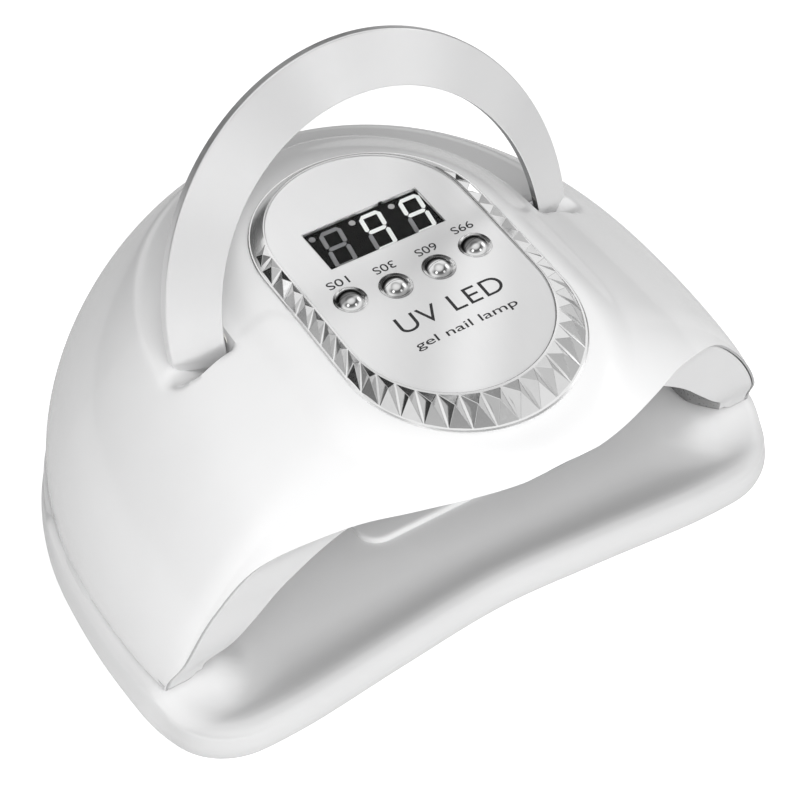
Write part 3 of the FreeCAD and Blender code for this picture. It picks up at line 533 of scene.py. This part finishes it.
# ---------------------------- liner: lip and cavity

LIP_OUT = np.array((118.5, 90.6, 100.2))   # dome sizes of the lip's outer and inner edge
LIP_IN = np.array((101.4, 66.5, 83.5))
FLARE = 14.0                               # depth over which the lip turns into the cavity
CORNER = 4.0                               # rounding of the lip's lower inner corner
phis = np.linspace(-math.pi / 2, math.pi / 2, 201)


def lip_point(t, phi):
    """Point of the lip, t from its outer to its inner edge; near the feet it is narrower."""
    low_corner = smooth(math.radians(58), math.radians(90), abs(phi))
    size = LIP_OUT + (LIP_IN - LIP_OUT) * t * (1 - 0.3 * low_corner * t)
    return dome(mouth_edge(phi, size)[0], phi, size)


lip = np.array([[lip_point(t, phi) for phi in phis] for t in np.linspace(0, 1, 26)])
cavity, _ = shell_rows(CAVITY, len(phis), 100)
skin = np.transpose(cavity, (1, 0, 2)).copy()
depth = skin[:, :, 1] - lip[-1][None, :, 1]
flare = np.clip(1.0 - depth / FLARE, 0.0, 1.0) ** 2.2
here = dome(skin[:, :, 1], phis[None, :], CAVITY)
wide = dome(skin[:, :, 1], phis[None, :], LIP_IN)
skin = skin + (wide - here) * flare[..., None]
offset = (lip[-1] - skin[0])[None]
fade = np.clip(1.0 - (skin[:, :, 1] - skin[:1, :, 1]) / FLARE, 0.0, 1.0) ** 2
skin = np.concatenate([lip, (skin + offset * fade[..., None])[1:]], 0)
inset = np.clip(106.0 + CORNER - np.abs(skin[..., 0]), 0.0, CORNER)
rise = 0.5 * CORNER * (inset / CORNER) ** 2.2
rise *= 1.0 - smooth(2.0, 18.0, skin[..., 1] - skin[0, 0, 1])
skin[..., 2] += rise * (1.0 - smooth(FLOOR, 42.0, skin[..., 2]))
skin = foot_set_back(skin)
verts, faces = grid(skin)
m = skin.shape[1]
last_row, tip = len(verts) - m, len(verts)
verts.append((0.0, float(skin[-1, 0, 1]), 30.0))
faces += [(last_row + j, last_row + j + 1, tip) for j in range(m - 1)]
liner = build("liner_lip_and_cavity", verts, faces, "lamp_head", LINER)
liner.data.materials.append(CAVITY_SHADE)
# painted shade: the cavity behind the lip takes the darkened reflector
for k, polygon in enumerate(liner.data.polygons):
    polygon.material_index = int(k >= (len(lip) - 1) * (m - 1))
weld(liner)
crease_by_angle(liner, 50)
solid = liner.modifiers.new("wall", "SOLIDIFY")
solid.thickness = 1.6 * MM
solid.offset = 1.0
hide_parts("inner_liner")

# ---------------------------- tray

TRAY_HALF, TRAY_REAR = 124.7, 104.0
# right side of the tray's outline from the front centre to the rear, then mirrored
knots = [(0.0, -80.0), (41.0, -82.8), (84.0, -86.3), (104.0, -84.8), (116.0, -76.5),
         (122.0, -62.0), (124.2, -42.0)]
for share in (0.0, 0.28, 0.52, 0.7, 0.84, 0.94, 0.985):
    knots.append((TRAY_HALF * float(superellipse(share, 2.25)),
                  WAIST + (TRAY_REAR - WAIST) * share))
knots.append((0.0, TRAY_REAR))
knots += [(-x, y) for x, y in reversed(knots[1:-1])]


def soften(loop, times):
    """Rounds a closed loop of points by averaging neighbours."""
    for _ in range(times):
        loop = 0.5 * loop + 0.25 * (np.roll(loop, 1, 0) + np.roll(loop, -1, 0))
    return loop


def closed_curve(points, spacing):
    """Smooth closed curve through a few points, with steps of about the given length."""
    p = np.array(points, float)
    n = len(p)
    chord = np.linalg.norm(np.roll(p, -1, 0) - p, axis=1)
    out = []
    for i in range(n):
        a, b, c, d = p[i - 1], p[i], p[(i + 1) % n], p[(i + 2) % n]
        t0, t1, t2 = chord[i - 1] ** 0.5, chord[i] ** 0.5, chord[(i + 1) % n] ** 0.5
        m1 = (b - a) / t0 - (c - a) / (t0 + t1) + (c - b) / t1
        m2 = (c - b) / t1 - (d - b) / (t1 + t2) + (d - c) / t2
        steps = max(3, int(chord[i] / spacing))
        for t in np.linspace(0, 1, steps, endpoint=False):
            h = (2 * t ** 3 - 3 * t ** 2 + 1, (t ** 3 - 2 * t ** 2 + t) * t1,
                 -2 * t ** 3 + 3 * t ** 2, (t ** 3 - t ** 2) * t1)
            out.append(h[0] * b + h[1] * m1 + h[2] * c + h[3] * m2)
    return np.array(out)


rim = soften(closed_curve(knots, 2.0), 6)
rim[:, 0] *= TRAY_HALF / rim[:, 0].max()
along = np.roll(rim, -1, 0) - np.roll(rim, 1, 0)
along /= np.linalg.norm(along, axis=1)[:, None]
inward = soften(np.stack([-along[:, 1], along[:, 0]], 1), 30)
inward /= np.linalg.norm(inward, axis=1)[:, None]

# section of the rim, as distance inward and height: round nose, crest and slope to the well
UNDER, BOTTOM = 7.0, 1.2
WELL_EDGE, WELL = 21.5, 13.85
profile = [(UNDER, BOTTOM), (4.5, 1.3), (2.2, 2.2), (0.8, 3.8), (0.1, 6.2), (0.0, 8.5),
           (0.4, 10.9), (1.5, 13.2), (3.2, 14.9), (5.4, 15.8), (7.4, 15.9), (9.4, 15.6),
           (11.8, 15.05), (14.6, 14.5), (17.6, 14.1), (WELL_EDGE, WELL)]
centre = np.array([0.0, 6.0])


def level_ring(loop, z):
    return np.column_stack([loop, np.full(len(loop), z)])


rings = [level_ring(centre + (rim + inward * UNDER - centre) * t, BOTTOM)
         for t in (0.02, 0.35, 0.7, 0.9)]
rings += [level_ring(rim + inward * inset, z) for inset, z in catmull(profile, 4)]
rings += [level_ring(centre + (rim + inward * WELL_EDGE - centre) * t,
                     WELL - 0.35 * min(1, (1 - t) * 3)) for t in np.linspace(0.975, 0.02, 34)]
rings = np.array(rings)
# the tray swells up under the two front feet of the lamp
top_side = smooth(11.0, 13.0, rings[..., 2])
across = np.abs(rings[..., 0]) - np.clip(np.abs(rings[..., 0]), 101.0, 114.0)
reach = np.hypot(across, rings[..., 1] - np.clip(rings[..., 1], -57.0, 20.0))
swell = (1.0 - smooth(2.0, 19.0, reach)) * top_side
rings[..., 2] += (21.3 + 0.85 * foot_lift(rings[..., 1]) - rings[..., 2]) * swell
bank = 11.5 + 4.1 * (1.0 - smooth(8.0, 44.0, reach))
gap = bank - rings[..., 2]
rings[..., 2] += 0.5 * (gap + np.sqrt(gap ** 2 + 0.5)) * top_side
verts, faces = grid(rings, wrap_v=True)
faces.append(tuple(range(len(rim)))[::-1])
faces.append(tuple((len(rings) - 1) * len(rim) + i for i in range(len(rim))))
tray = build("tray_shell", verts, faces, "tray_base", TRAY)
weld(tray)
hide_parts("tray")


def horseshoe(half, rear, front):
    """Footprint line from the front right round the rear to the front left."""
    ys = np.concatenate([np.linspace(front, WAIST, 40, endpoint=False),
                         WAIST + (rear - WAIST) * np.sin(np.linspace(0, math.pi / 2, 90))])
    right = np.column_stack([plan(ys, half, rear), ys])
    left = right[::-1][1:] * np.array([-1, 1])
    return np.vstack([right, left])


# ridge under the dome; its front ends sink into the swelling
RISER_FRONT = -30.0
out_line = horseshoe(121.6, 103.2, RISER_FRONT)
in_line = horseshoe(102.0, 86.0, RISER_FRONT)
section = [(0.0, 11.0), (0.0, 18.6), (0.04, 20.6), (0.12, 21.5), (0.22, 21.6), (0.8, 21.6),
           (0.92, 21.3), (0.98, 20.0), (1.0, 17.0), (1.0, 9.0)]
stack = []
for t, z in section:
    line = out_line + (in_line - out_line) * t
    sink = 2.6 * (1.0 - smooth(RISER_FRONT, -8.0, line[:, 1]))
    stack.append(np.column_stack([line, z - sink]))
verts, faces = grid(np.array(stack), flip=True)
n = len(out_line)
for end in (0, n - 1):
    loop = [k * n + end for k in range(len(section))]
    faces.append(tuple(loop if end else loop[::-1]))
riser = build("tray_riser", verts, faces, "tray_base", TRAY)
weld(riser)
crease_by_angle(riser, 40)
bevel(riser, 1.6, 4, 50)

# raised pad on the tray's floor, as growth beyond its outline and height
PAD_HALF, PAD_DEEP, PAD_CORNER, PAD_Y = 29.0, 34.0, 8.0, -7.0
stack = []
for grow, z in [(1.0, 12.6), (0.7, 13.1), (0.3, 13.4), (0.1, 14.2), (-0.1, 14.9), (-0.6, 15.3),
                (-1.6, 15.4), (-8.0, 15.4), (-23.0, 15.4)]:
    r = max(PAD_CORNER + grow, 0.3)
    inner = max(PAD_CORNER, -grow)
    hx, hy = PAD_HALF - inner, PAD_DEEP - inner
    ring = []
    for cx, cy, start in [(1, -1, -90), (1, 1, 0), (-1, 1, 90), (-1, -1, 180)]:
        for a in np.radians(np.linspace(start, start + 90, 14)):
            ring.append((cx * hx + r * math.cos(a), PAD_Y + cy * hy + r * math.sin(a), z))
    stack.append(ring)
verts, faces = grid(np.array(stack), wrap_v=True)
faces.append(tuple(range(len(verts) - len(ring), len(verts))))
pad = build("tray_pad", verts, faces, "tray_base", TRAY)
weld(pad)

# ---------------------------- handle

LEAN = math.radians(16.2)
HANDLE_Y, HANDLE_Z = -1.2, 94.4    # origin of the bow's own plane
# corners of the section, front-in, front-out, back-out and back-in: half width, how far forward
# and height of the half ellipse that each one follows
CORNERS = ((59.7, 7.8, 66.7), (75.5, 0.0, 83.0), (75.5, -3.6, 83.0), (59.7, 4.2, 66.7))


def handle_point(x, forward, up):
    """The bow's own plane, which leans back from the pivots, to the object's frame."""
    return (x, HANDLE_Y + up * math.sin(LEAN) - forward * math.cos(LEAN),
            HANDLE_Z + up * math.cos(LEAN) + forward * math.sin(LEAN))


bow = [[(x * math.cos(a), forward, up * math.sin(a)) for x, forward, up in CORNERS]
       for a in np.linspace(0, math.pi, 121)]
# each foot narrows downwards: how far down, in at the outer side, out at the inner side, back
foot = []
for down, narrow_out, narrow_in, back in ((1.2, 0.2, 0.5, 0.3), (3.4, 1.4, 2.6, 1.2),
                                          (5.2, 3.9, 5.6, 2.0)):
    shifts = ((narrow_in, back), (-narrow_out, back), (-narrow_out, 0.15 * back),
              (narrow_in, back))
    foot.append([(x + dx, forward - dy, 0.2 - down)
                 for (x, forward, _), (dx, dy) in zip(CORNERS, shifts)])
left_foot = [[(-x, forward, up) for x, forward, up in ring] for ring in foot]
stations = foot[::-1] + bow + left_foot
table = np.array([[handle_point(*c) for c in ring] for ring in stations])
verts, faces = grid(table, wrap_v=True)
faces.append((0, 1, 2, 3))
last = (len(table) - 1) * 4
faces.append((last + 3, last + 2, last + 1, last))
handle = build("handle_bow", verts, faces, "carry_handle", HANDLE)
handle.data.materials.append(HANDLE_EDGE_SHADE)
# painted shade: the bow's inner side, between its back-in and front-in corners, takes the dark
# metal
for k, polygon in enumerate(handle.data.polygons):
    polygon.material_index = int(k < (len(table) - 1) * 4 and k % 4 == 3)
weld(handle)
crease_by_angle(handle, 25)
bevel(handle, 0.55, 3, 30)
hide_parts("handle")

# ---------------------------- control ring


def stadium_point(s, half, front, back):
    """Point at a distance along a round-ended line, from the rear left round the front."""
    straight, arc = back - front, math.pi * half
    s %= 2 * (straight + arc)
    if s < straight:
        return -half, back - s
    if s < straight + arc:
        a = (s - straight) / half
        return -half * math.cos(a), front - half * math.sin(a)
    if s < 2 * straight + arc:
        return half, front + s - straight - arc
    a = (s - 2 * straight - arc) / half
    return half * math.cos(a), back + half * math.sin(a)


def outline(half, front, back):
    length = 2 * (back - front + math.pi * half)
    return np.array([stadium_point(s, half, front, back)
                     for s in np.linspace(0, length, 192, endpoint=False)])


def stud_corner(share, half, front, back, w):
    """Corner in the row of studs, which runs a little way round each rear end."""
    tail = 0.29 * half
    length = 2 * (back - front) + math.pi * half + 2 * tail
    return np.array(stadium_point(share * length - tail, half, front, back) + (w,))


# section of the ring: half width, front and rear centre of each line, and its height
bands = [(34.15, -41.0, 1.9, -1.5), (34.15, -41.0, 1.9, 0.35), (34.35, -41.2, 1.85, 0.62),
         (34.8, -41.7, 1.7, 0.55), (36.6, -43.8, 1.0, -0.35), (38.6, -46.0, 0.3, -1.45),
         (39.9, -47.4, -0.1, -2.35), (40.35, -47.8, -0.25, -2.3), RING_LINE + (-2.6,),
         RING_LINE + (-5.0,)]
stack = []
for half, front, back, w in bands:
    line = outline(half, front, back)
    stack.append(panel_point(line[:, 0], line[:, 1], w))
verts, faces = grid(np.array(stack), wrap_v=True)
ring = build("control_ring", verts, faces, "lamp_head", RING_BAND)
crease_by_angle(ring, 20)
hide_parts("trim_ring")

STUDS = 33
STUD_HEIGHT, STUD_SINK = 3.2, 0.105
STUDS_OUT, STUDS_IN = (40.0, -48.0, -0.3, -2.6), (34.9, -41.0, 1.9, 0.5)
verts, faces = [], []
for i in range(STUDS):
    a, b = i / STUDS, (i + 1) / STUDS
    size = min(1.0, 0.35 + 7.0 * min(a + 0.01, 1.01 - b))
    base = [stud_corner(share, *line) for share, line in ((a, STUDS_OUT), (b, STUDS_OUT),
                                                          (b, STUDS_IN), (a, STUDS_IN))]
    k = len(verts)
    verts += [panel_point(*(spot - (0, 0, STUD_SINK))) for spot in base]
    verts.append(panel_point(*(sum(base) / 4 + (0, 0, STUD_HEIGHT * size))))
    faces += [(k, k + 1, k + 4), (k + 1, k + 2, k + 4), (k + 2, k + 3, k + 4),
              (k + 3, k, k + 4), (k, k + 3, k + 2, k + 1)]
studs = build("control_ring_facets", verts, faces, "lamp_head", RING, smooth_shade=False)
bevel(studs, 0.12, 2, 20)

# ---------------------------- control plate


def flat_mesh(name, loops, thick, soft):
    """Closed outlines (first one outside) filled and given a thickness, centred on w = 0."""
    curve = bpy.data.curves.new(name, "CURVE")
    curve.dimensions = "2D"
    curve.fill_mode = "BOTH"
    curve.extrude = max(thick / 2 - soft, 0.0) * MM
    curve.bevel_depth = soft * MM
    curve.bevel_resolution = 2
    for loop in loops:
        s = curve.splines.new("POLY")
        s.points.add(len(loop) - 1)
        for p, (x, y) in zip(s.points, loop):
            p.co = (x * MM, y * MM, 0, 1)
        s.use_cyclic_u = True
    holder = bpy.data.objects.new(name + "_source", curve)
    mesh = bpy.data.meshes.new_from_object(holder)
    bpy.data.objects.remove(holder)
    bpy.data.curves.remove(curve)
    return mesh


def rows_across(bm, values):
    """Cuts a flat mesh along lines across the panel, so that it can follow the crown."""
    for v in values:
        everything = bm.verts[:] + bm.edges[:] + bm.faces[:]
        bmesh.ops.bisect_plane(bm, geom=everything, plane_co=(0, v * MM, 0), plane_no=(0, 1, 0))


SAME_SPOT = 0.004 * MM


def onto_panel(name, mesh, w, material, rows=(), crease=30, flat=False):
    """Lays a flat mesh on the panel at height w, following its crown unless it stays flat."""
    bm = bmesh.new()
    bm.from_mesh(mesh)
    bmesh.ops.remove_doubles(bm, verts=bm.verts, dist=SAME_SPOT)
    rows_across(bm, rows)
    for vert in bm.verts:
        u, v, h = (c / MM for c in vert.co)
        lift = crown(v) if flat else 0.0
        vert.co = Vector(panel_point(u, v, w + h + lift)) * MM
    bmesh.ops.recalc_face_normals(bm, faces=bm.faces)
    bm.to_mesh(mesh)
    bm.free()
    mesh.materials.clear()
    mesh.materials.append(material)
    obj = bpy.data.objects.new(name, mesh)
    bpy.context.scene.collection.objects.link(obj)
    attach(obj, "lamp_head")
    crease_by_angle(obj, crease)
    return obj


def circle(cx, cy, r, count=48):
    steps = [2 * math.pi * i / count for i in range(count)]
    return [(cx + r * math.cos(a), cy + r * math.sin(a)) for a in steps]


SPOTS = {"10s": (-23.2, -23.1), "30s": (-8.0, -25.3), "60s": (8.0, -25.3), "99s": (23.2, -23.1)}
WIN_HALF, WIN_FRONT, WIN_REAR = 21.6, -8.98, 9.58
BUTTON_HOLE = 5.62
# the window's rear edge has a small notch
window_loop = [(-WIN_HALF, WIN_FRONT), (WIN_HALF, WIN_FRONT), (WIN_HALF, WIN_REAR),
               (9.1, WIN_REAR), (8.6, WIN_REAR + 0.6), (7.6, WIN_REAR + 0.6), (7.1, WIN_REAR),
               (-WIN_HALF, WIN_REAR)]
loops = [[tuple(p) for p in outline(*PLATE_LINE)], window_loop]
loops += [circle(x, y, BUTTON_HOLE) for x, y in SPOTS.values()]
plate = onto_panel("control_plate_face", flat_mesh("plate", loops, 1.4, 0.22), -0.72, PLATE,
                   rows=np.arange(-74.0, 36.0, 3.0), crease=8)
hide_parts("control_plate")

# ---------------------------- digits

DEEP = -2.48                       # height of the segments, under the window
MIDDLE = 0.7                       # where the digits' middle bars lie
SLANT = math.tan(math.radians(9.0))
LINE = 1.42
LIT = "abcdfg"


def bar(x, cx, cy, across, length):
    """Six-sided segment centred at (cx, cy) on the slanted digit at x."""
    half, tip = (length - LINE - 0.35) / 2, LINE / 2
    shape = [(-half - tip * 0.2, 0), (-half + tip * 0.7, tip), (half - tip * 0.7, tip),
             (half + tip * 0.2, 0), (half - tip * 0.7, -tip), (-half + tip * 0.7, -tip)]
    if not across:
        shape = [(py, px) for px, py in shape]
    return [(x + cx + px + (cy + py) * SLANT, MIDDLE + cy + py) for px, py in shape]


SIDE, HIGH = 3.3, 7.2
SEGMENTS = {"a": (0, HIGH, True, 8.0), "g": (0, 0, True, 8.0), "d": (0, -HIGH - 0.8, True, 8.0),
            "f": (-SIDE, 3.85, False, 7.9), "b": (SIDE, 3.85, False, 7.9),
            "e": (-SIDE, -4.25, False, 8.7), "c": (SIDE, -4.25, False, 8.7)}
bright, dim, dots = [], [], []
for k, x in enumerate((-13.3, 1.65, 16.6)):
    for key, segment in SEGMENTS.items():
        target = bright if k > 0 and key in LIT else dim
        target.append(bar(x, *segment))
    target = dots if k > 0 else dim
    target.append(circle(x - 5.45, 7.5, 1.05, 24))
for name, loops, look in (("segments_lit", bright, SEGMENT), ("segments_unlit", dim, SEGMENT_DIM),
                          ("segment_dots", dots, SEGMENT_DOT)):
    piece = onto_panel(name, flat_mesh(name, loops, 0.24, 0.05), DEEP, look, flat=True)
    if name == "segments_lit":
        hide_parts("display_segments")

# ---------------------------- buttons


def lathe(name, profile, centre, body, material):
    """Solid turned about an axis that stands on the panel; the profile is radius and height."""
    count = 72
    cx, cy = centre
    table = []
    for r, w in profile:
        table.append([panel_point(x, y, w + crown(y) - crown(cy))
                      for x, y in circle(cx, cy, r, count)])
    verts, faces = grid(np.array(table), wrap_v=True)
    faces.append(tuple(range(count))[::-1])
    faces.append(tuple(range(len(verts) - count, len(verts))))
    obj = build(name, verts, faces, body, material)
    weld(obj)
    crease_by_angle(obj, 35)
    return obj


# stem, flange, rounded rim, groove and the dome in the middle
cap = [(2.0, -6.5), (2.0, -3.0), (6.3, -3.0), (6.3, -1.9), (5.5, -1.9), (5.5, -0.1)]
cap += [(5.5 - 0.32 * (1 - math.cos(a)), -0.1 + 0.38 * math.sin(a))
        for a in np.radians((20, 45, 70, 90))]
cap += [(5.02, 0.24), (4.88, 0.04), (4.82, 0.0)]
BALL, DOME_TOP = 5.75, 2.35
cap += [(BALL * math.sin(a), DOME_TOP - BALL * (1 - math.cos(a)))
        for a in np.radians(np.linspace(54, 0.5, 20))]
for name, spot in SPOTS.items():
    key = lathe("button_cap_" + name, cap, spot, "key_" + name, BUTTON)
    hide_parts("button_" + name)

# ---------------------------- generic lettering


def lettering(name, text, centre, height, width, turned=False, spacing=1.0, weight=0.0):
    """Printed words on the crowned plate, fitted to a height and a width."""
    curve = bpy.data.curves.new(name, "FONT")
    curve.body = text
    curve.align_x = "CENTER"
    curve.align_y = "CENTER"
    curve.space_character = spacing
    curve.offset = weight
    holder = bpy.data.objects.new(name + "_source", curve)
    mesh = bpy.data.meshes.new_from_object(holder)
    bpy.data.objects.remove(holder)
    bpy.data.curves.remove(curve)
    bm = bmesh.new()
    bm.from_mesh(mesh)
    xs = [v.co.x for v in bm.verts]
    ys = [v.co.y for v in bm.verts]
    turn = -1.0 if turned else 1.0
    wide, tall = turn * width / (max(xs) - min(xs)), turn * height / (max(ys) - min(ys))
    mx, my = (max(xs) + min(xs)) / 2, (max(ys) + min(ys)) / 2
    for vert in bm.verts:
        u = centre[0] + (vert.co.x - mx) * wide
        v = centre[1] + (vert.co.y - my) * tall
        vert.co = Vector((u * MM, v * MM, 0))
    rows_across(bm, np.arange(centre[1] - height, centre[1] + height, 1.5))
    bmesh.ops.remove_doubles(bm, verts=bm.verts, dist=SAME_SPOT)
    bmesh.ops.recalc_face_normals(bm, faces=bm.faces)
    if sum(f.normal.z for f in bm.faces) < 0:
        bmesh.ops.reverse_faces(bm, faces=bm.faces)
    grown = bmesh.ops.extrude_face_region(bm, geom=bm.faces[:])
    for v in grown["geom"]:
        if isinstance(v, bmesh.types.BMVert):
            v.co.z += 0.05 * MM
    bm.to_mesh(mesh)
    bm.free()
    piece = onto_panel(name, mesh, -0.015, INK)
    return piece


for name, spot in (("10S", (-22.9, -15.0)), ("30S", (-6.9, -16.7)), ("60S", (8.7, -16.8)),
                   ("99S", (24.0, -14.3))):
    lettering("label_" + name, name, spot, 3.2, 7.6, turned=True)
lettering("label_main", "UV LED", (2.2, -40.6), 6.8, 38.0, spacing=1.05, weight=-0.004)
lettering("label_small", "gel nail lamp", (2.0, -50.4), 3.9, 37.0)

# ---------------------------- underside flange of the liner

FLANGE_FRONT, FLANGE_Z, FLANGE_OUT = -44.0, 22.9, 117.4


def lifted(line):
    """The flange's underside at a line of x and y."""
    return np.column_stack([line, FLANGE_Z + foot_lift(line[:, 1])])


# ahead of FLANGE_FRONT the inner line follows the lower edge of the cavity
near = [k for k in range(len(lip) - 1, len(skin)) if skin[k, 0, 1] < FLANGE_FRONT - 1.0]
front_in = {side: skin[near, side] for side in (0, -1)}
front_out = {side: lifted(np.column_stack([np.full(len(near), math.copysign(FLANGE_OUT, p[0, 0])),
                                           p[:, 1]])) for side, p in front_in.items()}
rear_out = lifted(horseshoe(FLANGE_OUT, 99.2, FLANGE_FRONT))
rear_in = lifted(horseshoe(99.6, 82.6, FLANGE_FRONT))
flange_out = np.vstack([front_out[-1], rear_out, front_out[0][::-1]])
flange_in = np.vstack([front_in[-1] + (0, 0, 0.4), rear_in, front_in[0][::-1] + (0, 0, 0.4)])
thick = np.array((0.0, 0.0, 1.4))
verts, faces = grid(np.array([flange_in + thick, flange_in, flange_out, flange_out + thick]),
                    wrap_u=True)
n = len(flange_out)
for end in (0, n - 1):
    faces.append(tuple(k * n + end for k in range(4)))
flange = build("liner_flange", verts, faces, "lamp_head", LINER)
weld(flange)
crease_by_angle(flange, 40)

# ---------------------------- floor, light and camera


def area(name, place, aim, wide, tall, power):
    """Soft rectangular light that mirrors don't see."""
    data = bpy.data.lights.new(name, "AREA")
    data.shape = "RECTANGLE"
    data.size = wide
    data.size_y = tall
    data.energy = power
    obj = bpy.data.objects.new(name, data)
    obj.location = place
    obj.rotation_euler = (Vector(aim) - Vector(place)).to_track_quat("-Z", "Y").to_euler()
    bpy.context.scene.collection.objects.link(obj)
    obj.visible_glossy = False


bm = bmesh.new()
bmesh.ops.create_grid(bm, x_segments=24, y_segments=24, size=3.0)
mesh = bpy.data.meshes.new("floor")
bm.to_mesh(mesh)
bm.free()
ground = bpy.data.objects.new("floor", mesh)
bpy.context.scene.collection.objects.link(ground)
FLOOR_LOOK = finish_material("white_floor", (0.74, 0.74, 0.74), 0.8, vary=0.004, bump=0.01,
                             emit=0.1)
# the floor glows white to the camera and only faintly to the object
tree = FLOOR_LOOK.node_tree
seen_by = add_node(tree, "ShaderNodeLightPath")
level = add_node(tree, "ShaderNodeMapRange", **{"To Min": 0.08, "To Max": 0.9})
tree.links.new(seen_by.outputs["Is Camera Ray"], level.inputs["Value"])
tree.links.new(level.outputs["Result"], tree.nodes["Principled BSDF"].inputs["Emission Strength"])
mesh.materials.append(FLOOR_LOOK)

area("key", (-0.25, -0.72, 0.85), (0, -0.02, 0.05), 0.7, 0.4, 4.6)
area("low", (-0.15, -1.0, 0.44), (0, -0.06, 0.02), 0.9, 0.2, 4.2)

world = bpy.data.worlds.new("studio")
bpy.context.scene.world = world
world.use_nodes = True
tree = world.node_tree
tree.nodes.clear()


def sky_ramp(stops):
    """Grey of the sky by height, from straight down (0) to straight up (1)."""
    node = add_node(tree, "ShaderNodeValToRGB")
    fill_ramp(node, stops)
    tree.links.new(split.outputs["Z"], node.inputs["Fac"])
    return node.outputs["Color"]


def softbox(direction, inner, outer, level):
    """Bright patch of the room, seen in mirrors; sizes are angles in degrees."""
    edge = add_node(tree, "ShaderNodeMapRange", interpolation_type="SMOOTHSTEP",
                    **{"From Min": math.cos(math.radians(outer)),
                       "From Max": math.cos(math.radians(inner)), "To Max": level})
    dot = add_node(tree, "ShaderNodeVectorMath", operation="DOT_PRODUCT")
    dot.inputs[1].default_value = Vector(direction).normalized()
    tree.links.new(coord.outputs["Generated"], dot.inputs[0])
    tree.links.new(dot.outputs["Value"], edge.inputs["Value"])
    return edge.outputs["Result"]


def mixed(a, b, factor=None, **values):
    node = add_node(tree, "ShaderNodeMixRGB", **values)
    if factor:
        tree.links.new(factor, node.inputs["Fac"])
    tree.links.new(a, node.inputs["Color1"])
    tree.links.new(b, node.inputs["Color2"])
    return node.outputs["Color"]


coord = add_node(tree, "ShaderNodeTexCoord")
split = add_node(tree, "ShaderNodeSeparateXYZ")
tree.links.new(coord.outputs["Generated"], split.inputs["Vector"])
turn = add_node(tree, "ShaderNodeMapRange", interpolation_type="SMOOTHSTEP",
                **{"From Min": -0.25, "From Max": 0.35})
tree.links.new(split.outputs["Y"], turn.inputs["Value"])
to_rear = turn.outputs["Result"]

# one soft sky lights the model, a banded one with bright panels is what mirrors see
soft_front = sky_ramp([(0.0, 0.7), (0.25, 0.95), (0.5, 0.85), (0.8, 0.5), (1.0, 0.47)])
soft_rear = sky_ramp([(0.0, 0.25), (0.3, 0.35), (0.6, 0.5), (1.0, 0.47)])
soft = mixed(soft_front, soft_rear, to_rear)
band_front = sky_ramp([(0.0, 0.85), (0.12, 0.75), (0.22, 0.5), (0.36, 0.9), (0.55, 1.0),
                       (0.70, 0.25), (0.84, 0.12), (0.93, 0.85), (1.0, 1.0)])
band_rear = sky_ramp([(0.0, 0.03), (0.34, 0.05), (0.48, 0.45), (0.58, 1.0), (0.84, 1.0),
                      (0.92, 0.5), (1.0, 1.0)])
bands = mixed(band_front, band_rear, to_rear)
for box in (softbox((-0.50, -0.35, 0.80), 7, 9, 1.4), softbox((0.30, -0.62, 0.72), 6, 8, 1.2),
            softbox((0.75, -0.1, 0.6), 10, 13, 0.9)):
    bands = mixed(bands, box, blend_type="ADD", Fac=1.0)
path = add_node(tree, "ShaderNodeLightPath")
glow = add_node(tree, "ShaderNodeBackground", Strength=1.0)
tree.links.new(mixed(soft, bands, path.outputs["Is Glossy Ray"]), glow.inputs["Color"])
plain = add_node(tree, "ShaderNodeBackground", Color=(1, 1, 1, 1), Strength=1.0)
mix = add_node(tree, "ShaderNodeMixShader")
out = add_node(tree, "ShaderNodeOutputWorld")
tree.links.new(path.outputs["Is Camera Ray"], mix.inputs["Fac"])
tree.links.new(glow.outputs["Background"], mix.inputs[1])
tree.links.new(plain.outputs["Background"], mix.inputs[2])
tree.links.new(mix.outputs["Shader"], out.inputs["Surface"])

bpy.context.scene.view_settings.view_transform = "Standard"
bpy.context.scene.view_settings.look = "None"

# the camera stands in front, to the left and above
AZ, EL, DISTANCE = math.radians(-32.6), math.radians(46.7), 0.6785
back = Vector((math.sin(AZ) * math.cos(EL), -math.cos(AZ) * math.cos(EL), math.sin(EL)))
target = Vector((0.0, -0.0151, 0.0477))
lens = bpy.data.cameras.new("camera")
lens.lens = 90.0
lens.sensor_width = 36.0
lens.clip_start = 0.01
camera = bpy.data.objects.new("camera", lens)
camera.location = target + back * DISTANCE
camera.rotation_euler = (-back).to_track_quat("-Z", "Y").to_euler()
bpy.context.scene.collection.objects.link(camera)
bpy.context.scene.camera = camera
